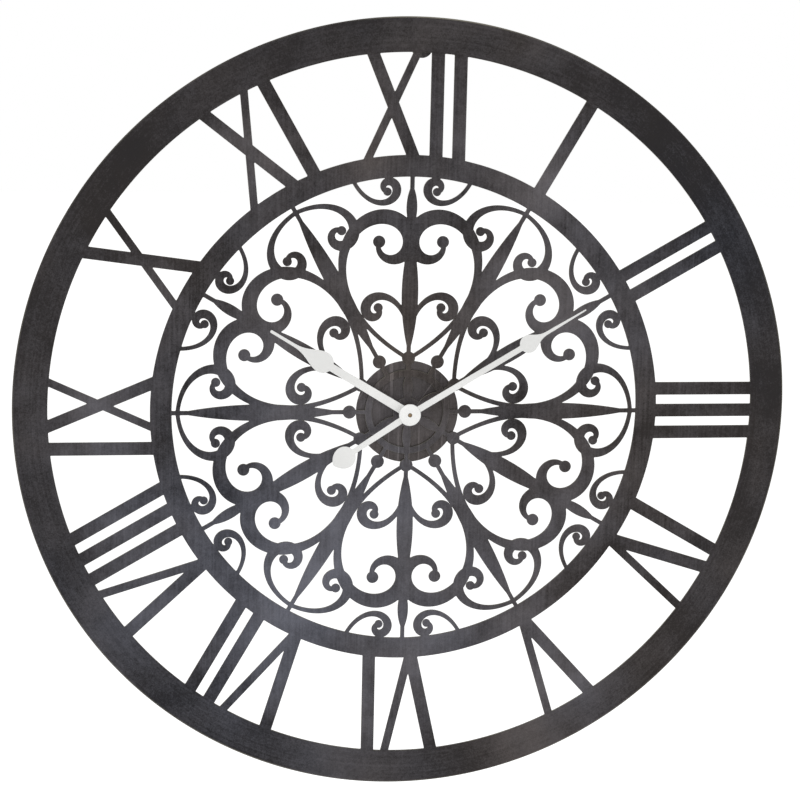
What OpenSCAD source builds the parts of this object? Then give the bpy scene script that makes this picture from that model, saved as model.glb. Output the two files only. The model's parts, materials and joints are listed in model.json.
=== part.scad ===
// Skeleton wall clock: an open sheet-steel dial with Roman numerals and a scrollwork centre,
// white hands and a quartz movement behind a small mounting disc. Millimetres, +Z up.
// The clock faces -Y. The origin is the hanging eye, in the plane of the wall.
// Inside on_wall() the dial is drawn flat: x to the right, y up and z towards the viewer,
// with z = 0 at the front face of the sheet and the hands' axis at x = y = 0.

/* [Dial sheet] */
// Outside diameter of the dial
dial_d = 800; // [796:1:860]
// Width of the outer ring
rim_w = 35.1; // [30:0.1:45]
// Outside radius of the inner ring
inner_ring_r = 262.9; // [255:0.1:270]
// Width of the inner ring
inner_ring_w = 21.85; // [18:0.05:30]
// Thickness of the steel sheet
sheet_t = 2; // [1:0.1:3]
// Radius of the mounting disc behind the centre
disc_r = 53; // [48:0.5:60]
// Thickness of the mounting disc
disc_t = 1.5; // [1:0.1:2.5]

/* [Numerals] */
// Tangential width of a thick stroke
thick_w = 13.4; // [10:0.1:16]
// Tangential width of a thin stroke
thin_w = 8.7; // [5:0.1:10]
// Radius at which the two strokes of a V meet
v_apex_r = 255.7; // [250:0.1:262]
// Sideways lean of a V stroke for each millimetre outwards
v_lean = 0.2275; // [0.18:0.0005:0.26]
// Radius at which the two strokes of an X cross
x_cross_r = 312.5; // [305:0.1:320]
// Sideways lean of the thick X stroke for each millimetre outwards
x_thick_lean = 0.418; // [0.35:0.001:0.48]
// Sideways lean of the thin X stroke for each millimetre outwards
x_thin_lean = 0.453; // [0.35:0.001:0.48]

/* [Scrollwork] */
// Number of panels round the centre
panels = 6; // [6:1:6]
// Outside radius of the centre collar
collar_r = 44; // [40:0.5:48]
// Width of the centre collar
collar_w = 7; // [5:0.5:10]
// Radius of the plain boss under the nut
boss_r = 15; // [12:0.5:18]
// Length of a petal inside the boss and under the collar
petal_root = [6, 2]; // [1:0.5:8]
// Width of the petals in the centre
petal_w = 10; // [6:0.5:12]
// Width of the spears between the panels
spear_w = 17; // [12:0.5:20]
// Width of the rod along a spear
rod_w = 4.4; // [3:0.1:6]
// Widest part of the large scrolls
scroll_w = 15.5; // [12:0.5:18]
// Narrowest part of the large scrolls
scroll_thin_w = 4.2; // [3:0.1:6]
// Radius of the ball at the end of a large scroll
ball_r = 6.2; // [5:0.1:8]
// Widest part of the leaf scrolls next to the axis of a panel
leaf_scroll_w = 10.5; // [8:0.5:13]
// Widest part of the corner scrolls
corner_scroll_w = 11; // [8:0.5:13]
// Widest part of the rim scrolls
rim_scroll_w = 9; // [6:0.5:10]
// Narrowest part of the small scrolls
small_thin_w = 4; // [3:0.1:5]
// Radius of the balls at the ends of the small scrolls
small_ball_r = 4.7; // [3.5:0.1:5.5]
// Width of the leaf at the outer end of a panel's axis
tip_leaf_w = 11; // [8:0.5:14]
// Radius of the round knots near the collar
knot_r = 6.8; // [5:0.1:8]
// Largest distance between a scroll's true curve and its straight edges
curve_error = 0.1; // [0.05:0.01:0.3]

/* [Hands] */
// Length of the minute hand from its axis to its tip
minute_len = 210.5; // [195:0.5:220]
// Distance from the axis to the middle of the minute hand's bulb
minute_bulb = 142; // [130:0.5:150]
// Radius of the minute hand's bulb
minute_bulb_r = 9.4; // [7:0.1:11]
// Half widths of the minute hand's rod, at the axis and at the bulb
minute_rod = [3.3, 2.9]; // [2:0.1:4]
// Half widths of the minute hand's tail, at the axis and at the counterweight
tail_rod = [3.5, 2.8]; // [2:0.1:4]
// Half width of the counterweight on the minute hand's tail
tail_half = 11.4; // [8:0.1:13]
// Distance from the axis to the widest part of the tail
minute_tail = 79.5; // [65:0.5:85]
// Angle by which the tail leans off the line of the minute hand
tail_lean = 2.6; // [0:0.1:4]
// Length of the hour hand from its axis to its tip
hour_len = 166.5; // [150:0.5:175]
// Distance from the axis to the middle of the hour hand's bulb
hour_bulb = 104; // [95:0.5:112]
// Radius of the hour hand's bulb
hour_bulb_r = 11; // [8:0.1:12]
// Half widths of the hour hand's rod, at the axis and at the bulb
hour_rod = [4.7, 4.1]; // [3:0.1:5]
// Thickness of the hands
hand_t = 0.9; // [0.6:0.1:1.5]
// Direction of the minute hand, clockwise from twelve
minute_angle = 59; // [0:1:360]
// Direction of the hour hand, clockwise from twelve
hour_angle = 301; // [0:1:360]
// Radius of the white cap on the hands' axis
cap_r = 11.2; // [9:0.1:14]

/* [Movement] */
// Side of the square movement case
case_side = 56; // [56:0.5:60]
// Depth of the movement case
case_depth = 16; // [16:0.5:18]
// Radius of the case's corners
case_corner = 3; // [1:0.5:4]
// Wall of the movement case
case_wall = 1.5; // [1.2:0.1:1.5]
// Radius of the AA cell
cell_r = 7.1; // [6.8:0.05:7.15]
// Length of the AA cell's can
cell_len = 49; // [48:0.5:49]

/* [Hanging] */
// Height of the hanging eye above the hands' axis
eye_height = 378; // [374:0.5:382]
// Radius of the hanging eye
eye_r = 4.5; // [3:0.1:6]
// Distance from the dial's front face to the wall
wall_gap = 24; // [23.5:0.1:30]
// Radius of the rubber wall pads
pad_r = 6; // [4:0.5:8]

/* [Hidden] */
$fn = 96;

steel = [0.24, 0.23, 0.24];
white = [0.92, 0.92, 0.90];
brass = [0.72, 0.55, 0.28];
case_black = [0.09, 0.09, 0.10];
bright = [0.75, 0.75, 0.77];
gear_white = [0.88, 0.88, 0.84];

dial_r = dial_d / 2;
rim_in_r = dial_r - rim_w;
open_r = inner_ring_r - inner_ring_w;
far = 1000;

// Places of the strokes in each numeral, as seen with its foot towards the centre:
// the I bars, the V (where its strokes meet) and the X (where its strokes cross)
numerals = [
    [[0], [], []],
    [[-11.6, 11.6], [], []],
    [[-23.2, 0, 23.2], [], []],
    [[-35.1], [10.6], []],
    [[], [1.2], []],
    [[34.9], [-8.2], []],
    [[23.2, 46.4], [-19.9], []],
    [[11.7, 34.9, 58.1], [-31.5], []],
    [[-36.2], [], [8.9]],
    [[], [], [-0.6]],
    [[35.0], [], [-10.1]],
    [[23.3, 46.5], [], [-21.1]]
];

// The strokes are drawn this much too long at each end, and the rings cut them off
stroke_spare = 20;

// Depths, from the front of the dial (z = 0) back to the wall
disc_back = -sheet_t - disc_t;
gasket_t = 1;
case_front = disc_back - gasket_t;
plate_t = 2;
plate_in = case_front - plate_t;
case_back = case_front - case_depth;
cover_in = case_back + case_wall;
wall_z = -wall_gap;
case_half = case_side / 2;
inner_half = case_half - case_wall;

// Hands' axis, from the bushing outwards
bushing_r = 4;
bushing_top = 6;
washer_t = 0.8;
nut_t = 2.5;
nut_flats = 11;
hour_tube_r = 2.6;
bushing_bore_r = hour_tube_r + 0.08;
minute_arbor_r = 1.6;
hour_bore_r = minute_arbor_r + 0.08;
hour_hand_z = 9.6;
hour_tube_top = hour_hand_z + hand_t;
minute_hand_z = 15.4;
cap_t = 2.6;
cap_top = minute_hand_z + hand_t + cap_t;

// Wheels: tooth counts, modules and levels. Each wheel lies between two depths.
tooth_add = 0.78;
tooth_ded = 1.25;
train_module = 0.25;
motion_module = 0.3;
hour_module = 0.288;
pinion_teeth = 8;
rotor_wheel_teeth = 40;
seconds_teeth = 48;
third_teeth = 60;
centre_teeth = 64;
cannon_teeth = 12;
minute_teeth = 36;
minute_pinion_teeth = 10;
hour_teeth = 40;
setting_teeth = 12;
hour_level = [-8.5, -7.4];
minute_level = [-10.6, -9.6];
centre_level = [-12.3, -11.5];
third_level = [-14.1, -13.3];
seconds_level = [-15.9, -15.1];
rotor_level = [-17.4, -16.7];
pivot_r = 0.45;
pivot_gap = 0.05;
staff_r = 0.6;
pivot_depth = 0.9;

// A point at a distance and angle from another
function polar(from, distance, angle) = from + distance * [cos(angle), sin(angle)];
function spacing(m, a, b) = m * (a + b) / 2;
function direction(from, to) = atan2(to.y - from.y, to.x - from.x);

centre_at = [0, 0];
third_at = polar(centre_at, spacing(train_module, centre_teeth, pinion_teeth), 20);
seconds_at = polar(third_at, spacing(train_module, third_teeth, pinion_teeth), 75);
rotor_wheel_at = polar(seconds_at, spacing(train_module, seconds_teeth, pinion_teeth), 150);
rotor_at = polar(rotor_wheel_at, spacing(train_module, rotor_wheel_teeth, pinion_teeth), 160);
minute_wheel_at = polar(centre_at, spacing(motion_module, cannon_teeth, minute_teeth), 155);
setting_at = polar(minute_wheel_at, spacing(motion_module, minute_teeth, setting_teeth), 200);

// Battery bay and contacts
cell_y = -19;
cell_z = case_back + cell_r + 0.3;
bay_top = -11.4;
bay_wall = 1;
bay_front_t = 1.2;
contact_t = 0.3;
contact_x = inner_half - 0.15;
contact_half = 4;
strip_w = 1;
strip_gap = 0.15;
strip_lap = 0.9;
strip_overlap = 0.5;
plus_tip_r = 1.6;
minus_tip_r = 3;
slot_w = 0.7;
slot_z = [-14, -11];
touch_gap = 0.1;
cell_x = 25;
nub_overhang = 0.4;
nub_r = 2.6;

// Coil, stator and circuit board
core_y = 21.7;
core_w = 2.5;
core_x = [-26, -1.6];
core_z = [-13, -12];
coil_x = [-24.5, -6.5];
bobbin_r = 1.9;
bobbin_wall = 0.9;
bobbin_flange_r = 4.5;
winding_r = 4;
stator_z = [-14, -13];
stator_ring_r = 4.4;
stator_foot_w = 2.4;
stator_arm_y = [11, 16.9];
rotor_r = 2.7;
rotor_gap = 0.4;
magnet_z = [-15.2, -12.2];
board_z = [-13, -12];
board_x = 17.6;
board_y = [-8, 25.5];
crystal_at = [22, 13];
crystal_r = 1;
crystal_len = 6;
chip_at = [22, 4];
chip_r = 2.6;
chip_t = 0.9;
board_posts = [[22, -5], [22, 22.5]];
stator_posts = [[-11, 13.5], [-22, 13.5]];
post_pin_r = 0.9;

// Arbors, studs and the setting knob
tooth_root = 0.32;
tooth_tip = 0.11;
end_shake = 0.15;
pivot_len = 0.75;
clutch_r = 0.8;
stud_r = 0.8;
stud_end = 0.3;
minute_hub_r = 1.2;
setting_staff_r = 1;
knob_z = [case_back - 2.3, case_back - 0.3];
knob_r = 5.2;
knob_flutes = 24;
knob_floor = 0.8;
flute_r = 0.55;
flute_out = 0.25;
flange_t = 0.7;
flange_r = 5.2;
gasket_r = 13;
washer_r = 8.5;
hour_boss_r = 9;
hour_taper = [42, 2];
hour_point = [1.6, 1.5];
minute_taper = [30, 2.8];
minute_point = [1.6, 0.7];
tail_near = 11.6;
tail_away = 14;
tail_power = 0.75;
minute_boss_r = 10.6;
cap_edge = 1;
cap_soft = 0.3;
arbor_tip_z = cap_top - 0.3;
dimple_r = 0.7;
dimple_depth = 0.8;
collet_h = 1.6;
collet_wall = 1;

// Hanging bracket and wall posts
bracket_t = 2;
bracket_top = 393;
weld_at = [6.8, 370];
weld_r = 10.8;
eye_plate_r = 12;
post_r = 4;
pad_h = 5;
pad_floor = 2;

// Places the flat dial on the wall: its z axis comes to point at -Y
module on_wall() {
    translate([0, -wall_gap, -eye_height]) rotate([90, 0, 0]) children();
}

// A flat piece between two depths
module slab(z) {
    translate([0, 0, z[0]]) linear_extrude(z[1] - z[0]) children();
}

module at(p) {
    translate([p.x, p.y, 0]) children();
}

module annulus(r_out, r_in) {
    difference() {
        circle(r_out);
        circle(r_in);
    }
}

module rod(z, r) {
    translate([0, 0, z[0]]) cylinder(h = z[1] - z[0], r = r);
}

// Square with true round corners
module round_square(half, r) {
    square([2 * half - 2 * r, 2 * half], center = true);
    square([2 * half, 2 * half - 2 * r], center = true);
    for (x = [-1, 1], y = [-1, 1])
        translate([x * (half - r), y * (half - r)]) circle(r);
}

// Numeral strokes

// A stroke that crosses the dial's clear band, with its place given at one radius
module stroke(x, at_r, lean, w) {
    low = inner_ring_r - stroke_spare;
    high = rim_in_r + stroke_spare;
    x_low = x + lean * (low - at_r);
    x_high = x + lean * (high - at_r);
    polygon([[x_low - w / 2, low], [x_low + w / 2, low],
             [x_high + w / 2, high], [x_high - w / 2, high]]);
}

module numeral(k) {
    strokes = numerals[k - 1];
    color(steel) on_wall() slab([-sheet_t, 0]) rotate(-30 * k) intersection() {
        union() {
            for (x = strokes[0]) stroke(x, v_apex_r, 0, thick_w);
            for (x = strokes[1]) {
                stroke(x, v_apex_r, -v_lean, thick_w);
                stroke(x, v_apex_r, v_lean, thin_w);
            }
            for (x = strokes[2]) {
                stroke(x, x_cross_r, -x_thick_lean, thick_w);
                stroke(x, x_cross_r, x_thin_lean, thin_w);
            }
        }
        annulus(rim_in_r, inner_ring_r);
    }
}

// Scrollwork

// Heading of a scroll after a length s, in degrees from its start. Its bend starts at
// k degrees for each millimetre and grows by the factor e over every g millimetres.
function heading(s, k, g) = k * g * (exp(s / g) - 1);
// Length at which a scroll has turned through an angle
function turned(angle, k, g) = g * ln(1 + angle / (k * g));
// Growth over a whole scroll that spaces its points for the same error everywhere
function growth(turn, k, g) = exp(turned(turn, k, g) / (2 * g)) - 1;
function steps(turn, k, g) =
    ceil(2 * g * growth(turn, k, g) * sqrt(k * PI / 180 / 8 / curve_error));
function place(i, n, turn, k, g) = 2 * g * ln(1 + i / n * growth(turn, k, g));

// Points along a scroll that starts at p, heads along a and turns through an angle.
// side is 1 for a turn to the left and -1 for a turn to the right.
function scroll_path(p, a, k, g, turn, side) =
    let (n = steps(turn, k, g)) [
        for (i = 0, q = p;
             i <= n;
             i = i + 1,
             s1 = place(i, n, turn, k, g),
             s0 = place(i - 1, n, turn, k, g),
             h = a + side * heading((s0 + s1) / 2, k, g),
             q = q + (s1 - s0) * [cos(h), sin(h)])
        [q.x, q.y, a + side * heading(place(i, n, turn, k, g), k, g)]
    ];

// Half width of a scroll: thin at its ends, widest at the share peak of its turn
function swell(t, peak, thin, wide) =
    let (u = t < peak ? t / peak : (1 - t) / (1 - peak))
    thin / 2 + (wide - thin) / 2 * pow(max(0, sin(90 * u)), 1.5);

module ribbon(path, peak, thin, wide) {
    n = len(path) - 1;
    turn = path[n][2] - path[0][2];
    side = function (sign) [
        for (p = path)
            let (w = sign * swell((p[2] - path[0][2]) / turn, peak, thin, wide))
            [p[0] - w * sin(p[2]), p[1] + w * cos(p[2])]
    ];
    left = side(1);
    right = side(-1);
    polygon(concat(left, [for (i = [n:-1:0]) right[i]]));
}

// A leaf between two radii along y, bounded by two arcs
module leaf(r0, r1, w) {
    half = (r1 - r0) / 2;
    arc_r = (half * half + w * w / 4) / w;
    translate([0, (r0 + r1) / 2]) intersection() {
        translate([arc_r - w / 2, 0]) circle(arc_r);
        translate([w / 2 - arc_r, 0]) circle(arc_r);
    }
}

// Where the scrolls are widest, as a share of their turn, and where the leaves and the
// round knots lie, by radius
scroll_peak = 0.4;
corner_peak = 0.32;
rim_ball_r = 4.2;
rod_root = 2;
spear_span = [66, 236];
spear_knot = 60;
axis_span = [60, 184];
tip_span = [186, 234];
axis_knot = 56;

// The four scrolls in half a panel. Each starts at its thin end.
heart_scroll = scroll_path([3, 57], 31, 0.25, 98, 440, 1);
leaf_scroll = scroll_path([1, 84], 82, 0.75, 36, 400, -1);
corner_scroll = scroll_path([119, 203], 154, 0.62, 46, 420, 1);
rim_scroll = scroll_path([59.3, 234.6], 240, 0.9, 32, 420, -1);

module sheet() {
    slab([-sheet_t, 0]) children();
}

// A scroll with a ball at its curled end
module balled(path, peak, thin, wide, ball) {
    sheet() ribbon(path, peak, thin, wide);
    sheet() at(path[len(path) - 1]) circle(ball);
}

// The straight rod of a spear, from the collar to the inner ring
module spear_rod() {
    sheet() translate([-rod_w / 2, collar_r - rod_root])
        square([rod_w, open_r - collar_r + 2 * rod_root]);
}

module half_panel() {
    balled(heart_scroll, scroll_peak, scroll_thin_w, scroll_w, ball_r);
    balled(leaf_scroll, scroll_peak, small_thin_w, leaf_scroll_w, small_ball_r);
    balled(corner_scroll, corner_peak, scroll_thin_w, corner_scroll_w, small_ball_r);
    balled(rim_scroll, scroll_peak, small_thin_w, rim_scroll_w, rim_ball_r);
    rotate(-180 / panels) {
        spear_rod();
        sheet() leaf(spear_span[0], spear_span[1], spear_w);
        sheet() translate([0, spear_knot]) circle(knot_r);
    }
}

module scroll_panel(k) {
    wedge = tan(180 / panels) * far;
    color(steel) on_wall() rotate(-360 / panels * (k - 1)) intersection() {
        union() {
            half_panel();
            mirror([1, 0, 0]) half_panel();
            spear_rod();
            sheet() leaf(axis_span[0], axis_span[1], spear_w);
            sheet() leaf(tip_span[0], tip_span[1], tip_leaf_w);
            sheet() translate([0, axis_knot]) circle(knot_r);
        }
        sheet() polygon([[0, 0], [wedge, far], [-wedge, far]]);
        sheet() annulus(open_r, collar_r);
    }
}

module centre_boss() {
    color(steel) on_wall() slab([-sheet_t, 0]) difference() {
        union() {
            annulus(collar_r, collar_r - collar_w);
            circle(boss_r);
            for (k = [1:panels]) rotate(360 / panels * k)
                leaf(boss_r - petal_root[0], collar_r - petal_root[1], petal_w);
        }
        circle(bushing_r);
    }
}

// Rings, mounting disc and what hangs the clock on the wall

module outer_ring() {
    color(steel) on_wall() slab([-sheet_t, 0]) annulus(dial_r, rim_in_r);
}

module inner_ring() {
    color(steel) on_wall() slab([-sheet_t, 0]) annulus(inner_ring_r, open_r);
}

module mounting_disc() {
    color(steel) on_wall() slab([disc_back, -sheet_t]) annulus(disc_r, bushing_r);
}

// A strap bent to a U: its front flange is welded behind the outer ring, and its
// rear flange lies on the wall and has the hanging eye
module hanging_bracket() {
    weld_left = weld_at.x - weld_r;
    color(steel) on_wall() {
        slab([-sheet_t - bracket_t, -sheet_t]) {
            at(weld_at) circle(weld_r);
            translate([weld_left, weld_at.y]) square([2 * weld_r, bracket_top - weld_at.y]);
        }
        slab([wall_z, -sheet_t]) translate([-eye_plate_r, bracket_top - bracket_t])
            square([eye_plate_r + weld_at.x + weld_r, bracket_t]);
        slab([wall_z, wall_z + bracket_t]) difference() {
            union() {
                translate([0, eye_height]) circle(eye_plate_r);
                translate([-eye_plate_r, eye_height])
                    square([2 * eye_plate_r, bracket_top - eye_height]);
            }
            translate([0, eye_height]) circle(eye_r);
        }
    }
}

// Both lower posts stand behind the outer ring, at four and eight o'clock
module at_posts() {
    for (side = [-1, 1]) rotate(120 * side) translate([0, dial_r - rim_w / 2]) children();
}

module wall_posts() {
    color(steel) on_wall() at_posts() rod([wall_z + pad_floor, -sheet_t], post_r);
}

module wall_pads() {
    color(case_black) on_wall() at_posts() difference() {
        rod([wall_z, wall_z + pad_h], pad_r);
        rod([wall_z + pad_floor, wall_z + pad_h + 1], post_r);
    }
}

// Movement case

// The square case outline above or below the top of the battery bay
module above_bay() {
    intersection() {
        round_square(case_half, case_corner);
        translate([-case_half, bay_top + bay_wall]) square([case_side, case_side]);
    }
}

module below_bay() {
    intersection() {
        round_square(case_half, case_corner);
        translate([-case_half, -case_half])
            square([case_side, bay_top + bay_wall + case_half]);
    }
}

// Blind bearing holes for the arbors' pivots, from one face
module bearings(z, places) {
    for (p = places) at(p) rod(z, pivot_r + pivot_gap);
}

module front_case() {
    chamber_y = bay_top + bay_wall;
    color(case_black) on_wall() {
        difference() {
            union() {
                slab([cover_in, case_front]) round_square(case_half, case_corner);
                slab([case_back, cover_in + 1]) below_bay();
            }
            slab([case_back - 1, plate_in]) translate([-inner_half, chamber_y])
                square([2 * inner_half, inner_half - chamber_y]);
            slab([case_back - 1, case_front - bay_front_t]) translate([-inner_half, -inner_half])
                square([2 * inner_half, inner_half + bay_top]);
            rod([plate_in - 1, case_front + 1], bushing_r);
            bearings([plate_in - 1, plate_in + pivot_depth],
                     [third_at, seconds_at, rotor_wheel_at, rotor_at, setting_at]);
            for (side = [-1, 1]) slab(slot_z)
                translate([side * (inner_half - slot_w / 2), bay_top + bay_wall / 2])
                    square([slot_w, bay_wall + 1], center = true);
        }
        at(minute_wheel_at) rod([minute_level[0] - stud_end, plate_in], stud_r);
        for (p = board_posts) at(p) rod([board_z[1], plate_in], post_pin_r);
        for (p = stator_posts) at(p) rod([stator_z[1], plate_in], post_pin_r);
    }
}

module rear_cover() {
    color(case_black) on_wall() difference() {
        slab([case_back, cover_in]) above_bay();
        at(setting_at) rod([case_back - 1, cover_in + 1], setting_staff_r + pivot_gap);
        bearings([cover_in - pivot_depth, cover_in + 1],
                 [centre_at, third_at, seconds_at, rotor_wheel_at, rotor_at]);
    }
}

module threaded_bushing() {
    color(brass) on_wall() difference() {
        union() {
            rod([plate_in, bushing_top], bushing_r);
            rod([plate_in - flange_t, plate_in], flange_r);
        }
        rod([plate_in - flange_t - 1, bushing_top + 1], bushing_bore_r);
    }
}

module gasket() {
    color(case_black) on_wall() slab([case_front, disc_back]) annulus(gasket_r, bushing_r);
}

module washer() {
    color(brass) on_wall() slab([0, washer_t]) annulus(washer_r, bushing_r);
}

module hex_nut() {
    color(brass) on_wall() difference() {
        translate([0, 0, washer_t])
            cylinder(h = nut_t, r = nut_flats / 2 / cos(30), $fn = 6);
        rod([washer_t - 1, washer_t + nut_t + 1], bushing_r);
    }
}

// Electrical pieces

module circuit_board() {
    color("darkgreen") on_wall() slab(board_z) translate([board_x, board_y[0]])
        square([contact_x - contact_t - board_x, board_y[1] - board_y[0]]);
}

module quartz_crystal() {
    color(bright) on_wall() translate([crystal_at.x, crystal_at.y, board_z[0] - crystal_r])
        rotate([-90, 0, 0]) cylinder(h = crystal_len, r = crystal_r);
}

module control_chip() {
    color(case_black) on_wall() at(chip_at) rod([board_z[0] - chip_t, board_z[0]], chip_r);
}

// Turns a piece drawn along z so that it lies along x on the coil's axis
module along_coil() {
    translate([coil_x[0], core_y, (core_z[0] + core_z[1]) / 2]) rotate([0, 90, 0]) children();
}

module coil_bobbin() {
    length = coil_x[1] - coil_x[0];
    color(gear_white) on_wall() difference() {
        along_coil() {
            rod([0, length], bobbin_r);
            rod([0, bobbin_wall], bobbin_flange_r);
            rod([length - bobbin_wall, length], bobbin_flange_r);
        }
        slab(core_z) translate([coil_x[0] - 1, core_y - core_w / 2])
            square([length + 2, core_w]);
    }
}

module coil_winding() {
    length = coil_x[1] - coil_x[0];
    color("peru") on_wall() along_coil() difference() {
        rod([bobbin_wall, length - bobbin_wall], winding_r);
        rod([0, length], bobbin_r);
    }
}

module coil_core() {
    color(bright) on_wall() slab(core_z) translate([core_x[0], core_y - core_w / 2])
        square([core_x[1] - core_x[0], core_w]);
}

module stator() {
    foot_top = core_y + core_w / 2;
    color(bright) on_wall() slab(stator_z) difference() {
        union() {
            at(rotor_at) circle(stator_ring_r);
            translate([core_x[1] - stator_foot_w, rotor_at.y])
                square([stator_foot_w, foot_top - rotor_at.y]);
            translate([core_x[0], stator_arm_y[0]])
                square([rotor_at.x - core_x[0], stator_arm_y[1] - stator_arm_y[0]]);
            translate([core_x[0], stator_arm_y[0]])
                square([coil_x[0] - core_x[0], foot_top - stator_arm_y[0]]);
        }
        at(rotor_at) circle(rotor_r + rotor_gap);
    }
}

// The square spring plate of a contact, and the strip that leads up from it
module contact_plate(x, strip_top) {
    root = cell_y + contact_half - strip_overlap;
    translate([x, cell_y - contact_half, cell_z - contact_half])
        cube([contact_t, 2 * contact_half, 2 * contact_half]);
    translate([x, root, board_z[0]]) cube([contact_t, strip_top - root, strip_w]);
}

module positive_contact() {
    tip_x = cell_x + nub_overhang + touch_gap;
    color(bright) on_wall() {
        contact_plate(contact_x - contact_t, board_y[0] + strip_lap);
        translate([tip_x, cell_y, cell_z]) rotate([0, 90, 0])
            cylinder(h = contact_x - contact_t - tip_x, r = plus_tip_r);
    }
}

module negative_contact() {
    strip_y = bay_top + bay_wall + strip_gap;
    strip_end = board_x + strip_lap;
    color(bright) on_wall() {
        contact_plate(-contact_x, strip_y + contact_t);
        translate([-contact_x, strip_y, board_z[0]])
            cube([contact_x + strip_end, contact_t, strip_w]);
        translate([strip_end - contact_t, strip_y, board_z[0]])
            cube([contact_t, board_y[0] - strip_y, strip_w]);
        translate([-contact_x + contact_t, cell_y, cell_z]) rotate([0, 90, 0])
            cylinder(h = contact_x - contact_t - cell_x - touch_gap, r = minus_tip_r);
    }
}

module battery() {
    color(brass) on_wall() translate([-cell_x, cell_y, cell_z]) rotate([0, 90, 0]) {
        rod([0, cell_len], cell_r);
        rod([cell_len, cell_x + nub_overhang + cell_x], nub_r);
    }
}

// Wheels and arbors

// Spur gear outline with straight-sided teeth; one tooth points along phase
module gear(m, teeth, phase) {
    pitch_r = m * teeth / 2;
    pitch = 360 / teeth;
    corners = [[pitch_r - tooth_ded * m, -tooth_root], [pitch_r + tooth_add * m, -tooth_tip],
               [pitch_r + tooth_add * m, tooth_tip], [pitch_r - tooth_ded * m, tooth_root]];
    polygon([for (i = [0:teeth - 1], c = corners)
        let (a = phase + pitch * (i + c[1])) c[0] * [cos(a), sin(a)]]);
}

// A gear with a tooth on the line to its mate, or with a gap there
module driver(m, teeth, here, mate) {
    gear(m, teeth, direction(here, mate));
}

module driven(m, teeth, here, mate) {
    gear(m, teeth, direction(here, mate) + 180 / teeth);
}

// Plain arbor between the plate and the cover, with a pivot at each end
module arbor() {
    rod([cover_in + end_shake, plate_in - end_shake], staff_r);
    rod([cover_in - pivot_len, plate_in + pivot_len], pivot_r);
}

module rotor() {
    on_wall() at(rotor_at) {
        color(bright) rod(magnet_z, rotor_r);
        color(gear_white) slab(rotor_level)
            driver(train_module, pinion_teeth, rotor_at, rotor_wheel_at);
        color(bright) arbor();
    }
}

module intermediate_wheel() {
    color(gear_white) on_wall() at(rotor_wheel_at) {
        slab(rotor_level) driven(train_module, rotor_wheel_teeth, rotor_wheel_at, rotor_at);
        slab(seconds_level) driver(train_module, pinion_teeth, rotor_wheel_at, seconds_at);
        arbor();
    }
}

module seconds_wheel() {
    color(gear_white) on_wall() at(seconds_at) {
        slab(seconds_level) driven(train_module, seconds_teeth, seconds_at, rotor_wheel_at);
        slab(third_level) driver(train_module, pinion_teeth, seconds_at, third_at);
        arbor();
    }
}

module third_wheel() {
    color(gear_white) on_wall() at(third_at) {
        slab(third_level) driven(train_module, third_teeth, third_at, seconds_at);
        slab(centre_level) driver(train_module, pinion_teeth, third_at, centre_at);
        arbor();
    }
}

// Runs on the rear of the minute arbor, which it turns through a slipping clutch
module centre_wheel() {
    color(gear_white) on_wall() slab(centre_level) difference() {
        driven(train_module, centre_teeth, centre_at, third_at);
        circle(clutch_r + pivot_gap);
    }
}

// Carries the minute hand; its front end shows in the cap as a brass dot
module minute_arbor() {
    color(brass) on_wall() difference() {
        union() {
            rod([minute_level[1], arbor_tip_z], minute_arbor_r);
            slab(minute_level) driver(motion_module, cannon_teeth, centre_at, minute_wheel_at);
            rod([cover_in + end_shake, minute_level[0]], clutch_r);
            rod([cover_in - pivot_len, cover_in + end_shake], pivot_r);
        }
        rod([arbor_tip_z - dimple_depth, arbor_tip_z + 1], dimple_r);
    }
}

// Runs on a stud of the case and turns the hour wheel
module minute_wheel() {
    color(gear_white) on_wall() at(minute_wheel_at) difference() {
        union() {
            slab(minute_level) driven(motion_module, minute_teeth, minute_wheel_at, centre_at);
            rod([minute_level[1], hour_level[0]], minute_hub_r);
            slab(hour_level) driver(hour_module, minute_pinion_teeth, minute_wheel_at, centre_at);
        }
        rod([minute_level[0] - 1, hour_level[1] + 1], stud_r + pivot_gap);
    }
}

module hour_wheel() {
    color(brass) on_wall() difference() {
        union() {
            slab(hour_level) driven(hour_module, hour_teeth, centre_at, minute_wheel_at);
            rod([hour_level[0], hour_tube_top], hour_tube_r);
        }
        rod([hour_level[0] - 1, hour_tube_top + 1], hour_bore_r);
    }
}

// The setting pinion has a gap where the minute wheel has a tooth
module setting_arbor() {
    to_wheel = direction(setting_at, minute_wheel_at);
    wheel_phase = direction(minute_wheel_at, centre_at) + 180 / minute_teeth;
    offset_angle = wheel_phase - direction(minute_wheel_at, setting_at);
    color(gear_white) on_wall() at(setting_at) {
        slab(minute_level) gear(motion_module, setting_teeth,
            to_wheel + 180 / setting_teeth - offset_angle * minute_teeth / setting_teeth);
        rod([knob_z[0] + knob_floor, plate_in - end_shake], setting_staff_r);
        rod([plate_in - end_shake, plate_in + pivot_len], pivot_r);
    }
}

module setting_knob() {
    color(bright) on_wall() at(setting_at) difference() {
        rod(knob_z, knob_r);
        rod([knob_z[0] + knob_floor, knob_z[1] + 1], setting_staff_r);
        for (i = [1:knob_flutes]) rotate(360 / knob_flutes * i)
            translate([knob_r + flute_out, 0]) rod([knob_z[0] - 1, knob_z[1] + 1], flute_r);
    }
}

// Hands

// One side of a hand or tail is a list of points, each [half width, height]. This is
// the round side of a bulb, from the rod to the bulb's widest place.
function bulb_back(place, half, round_h, rod) = [
    for (i = [0:10])
        let (first = asin(rod / half), a = first + i / 10 * (90 - first))
        [half * sin(a), place - round_h * cos(a)]
];

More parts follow.
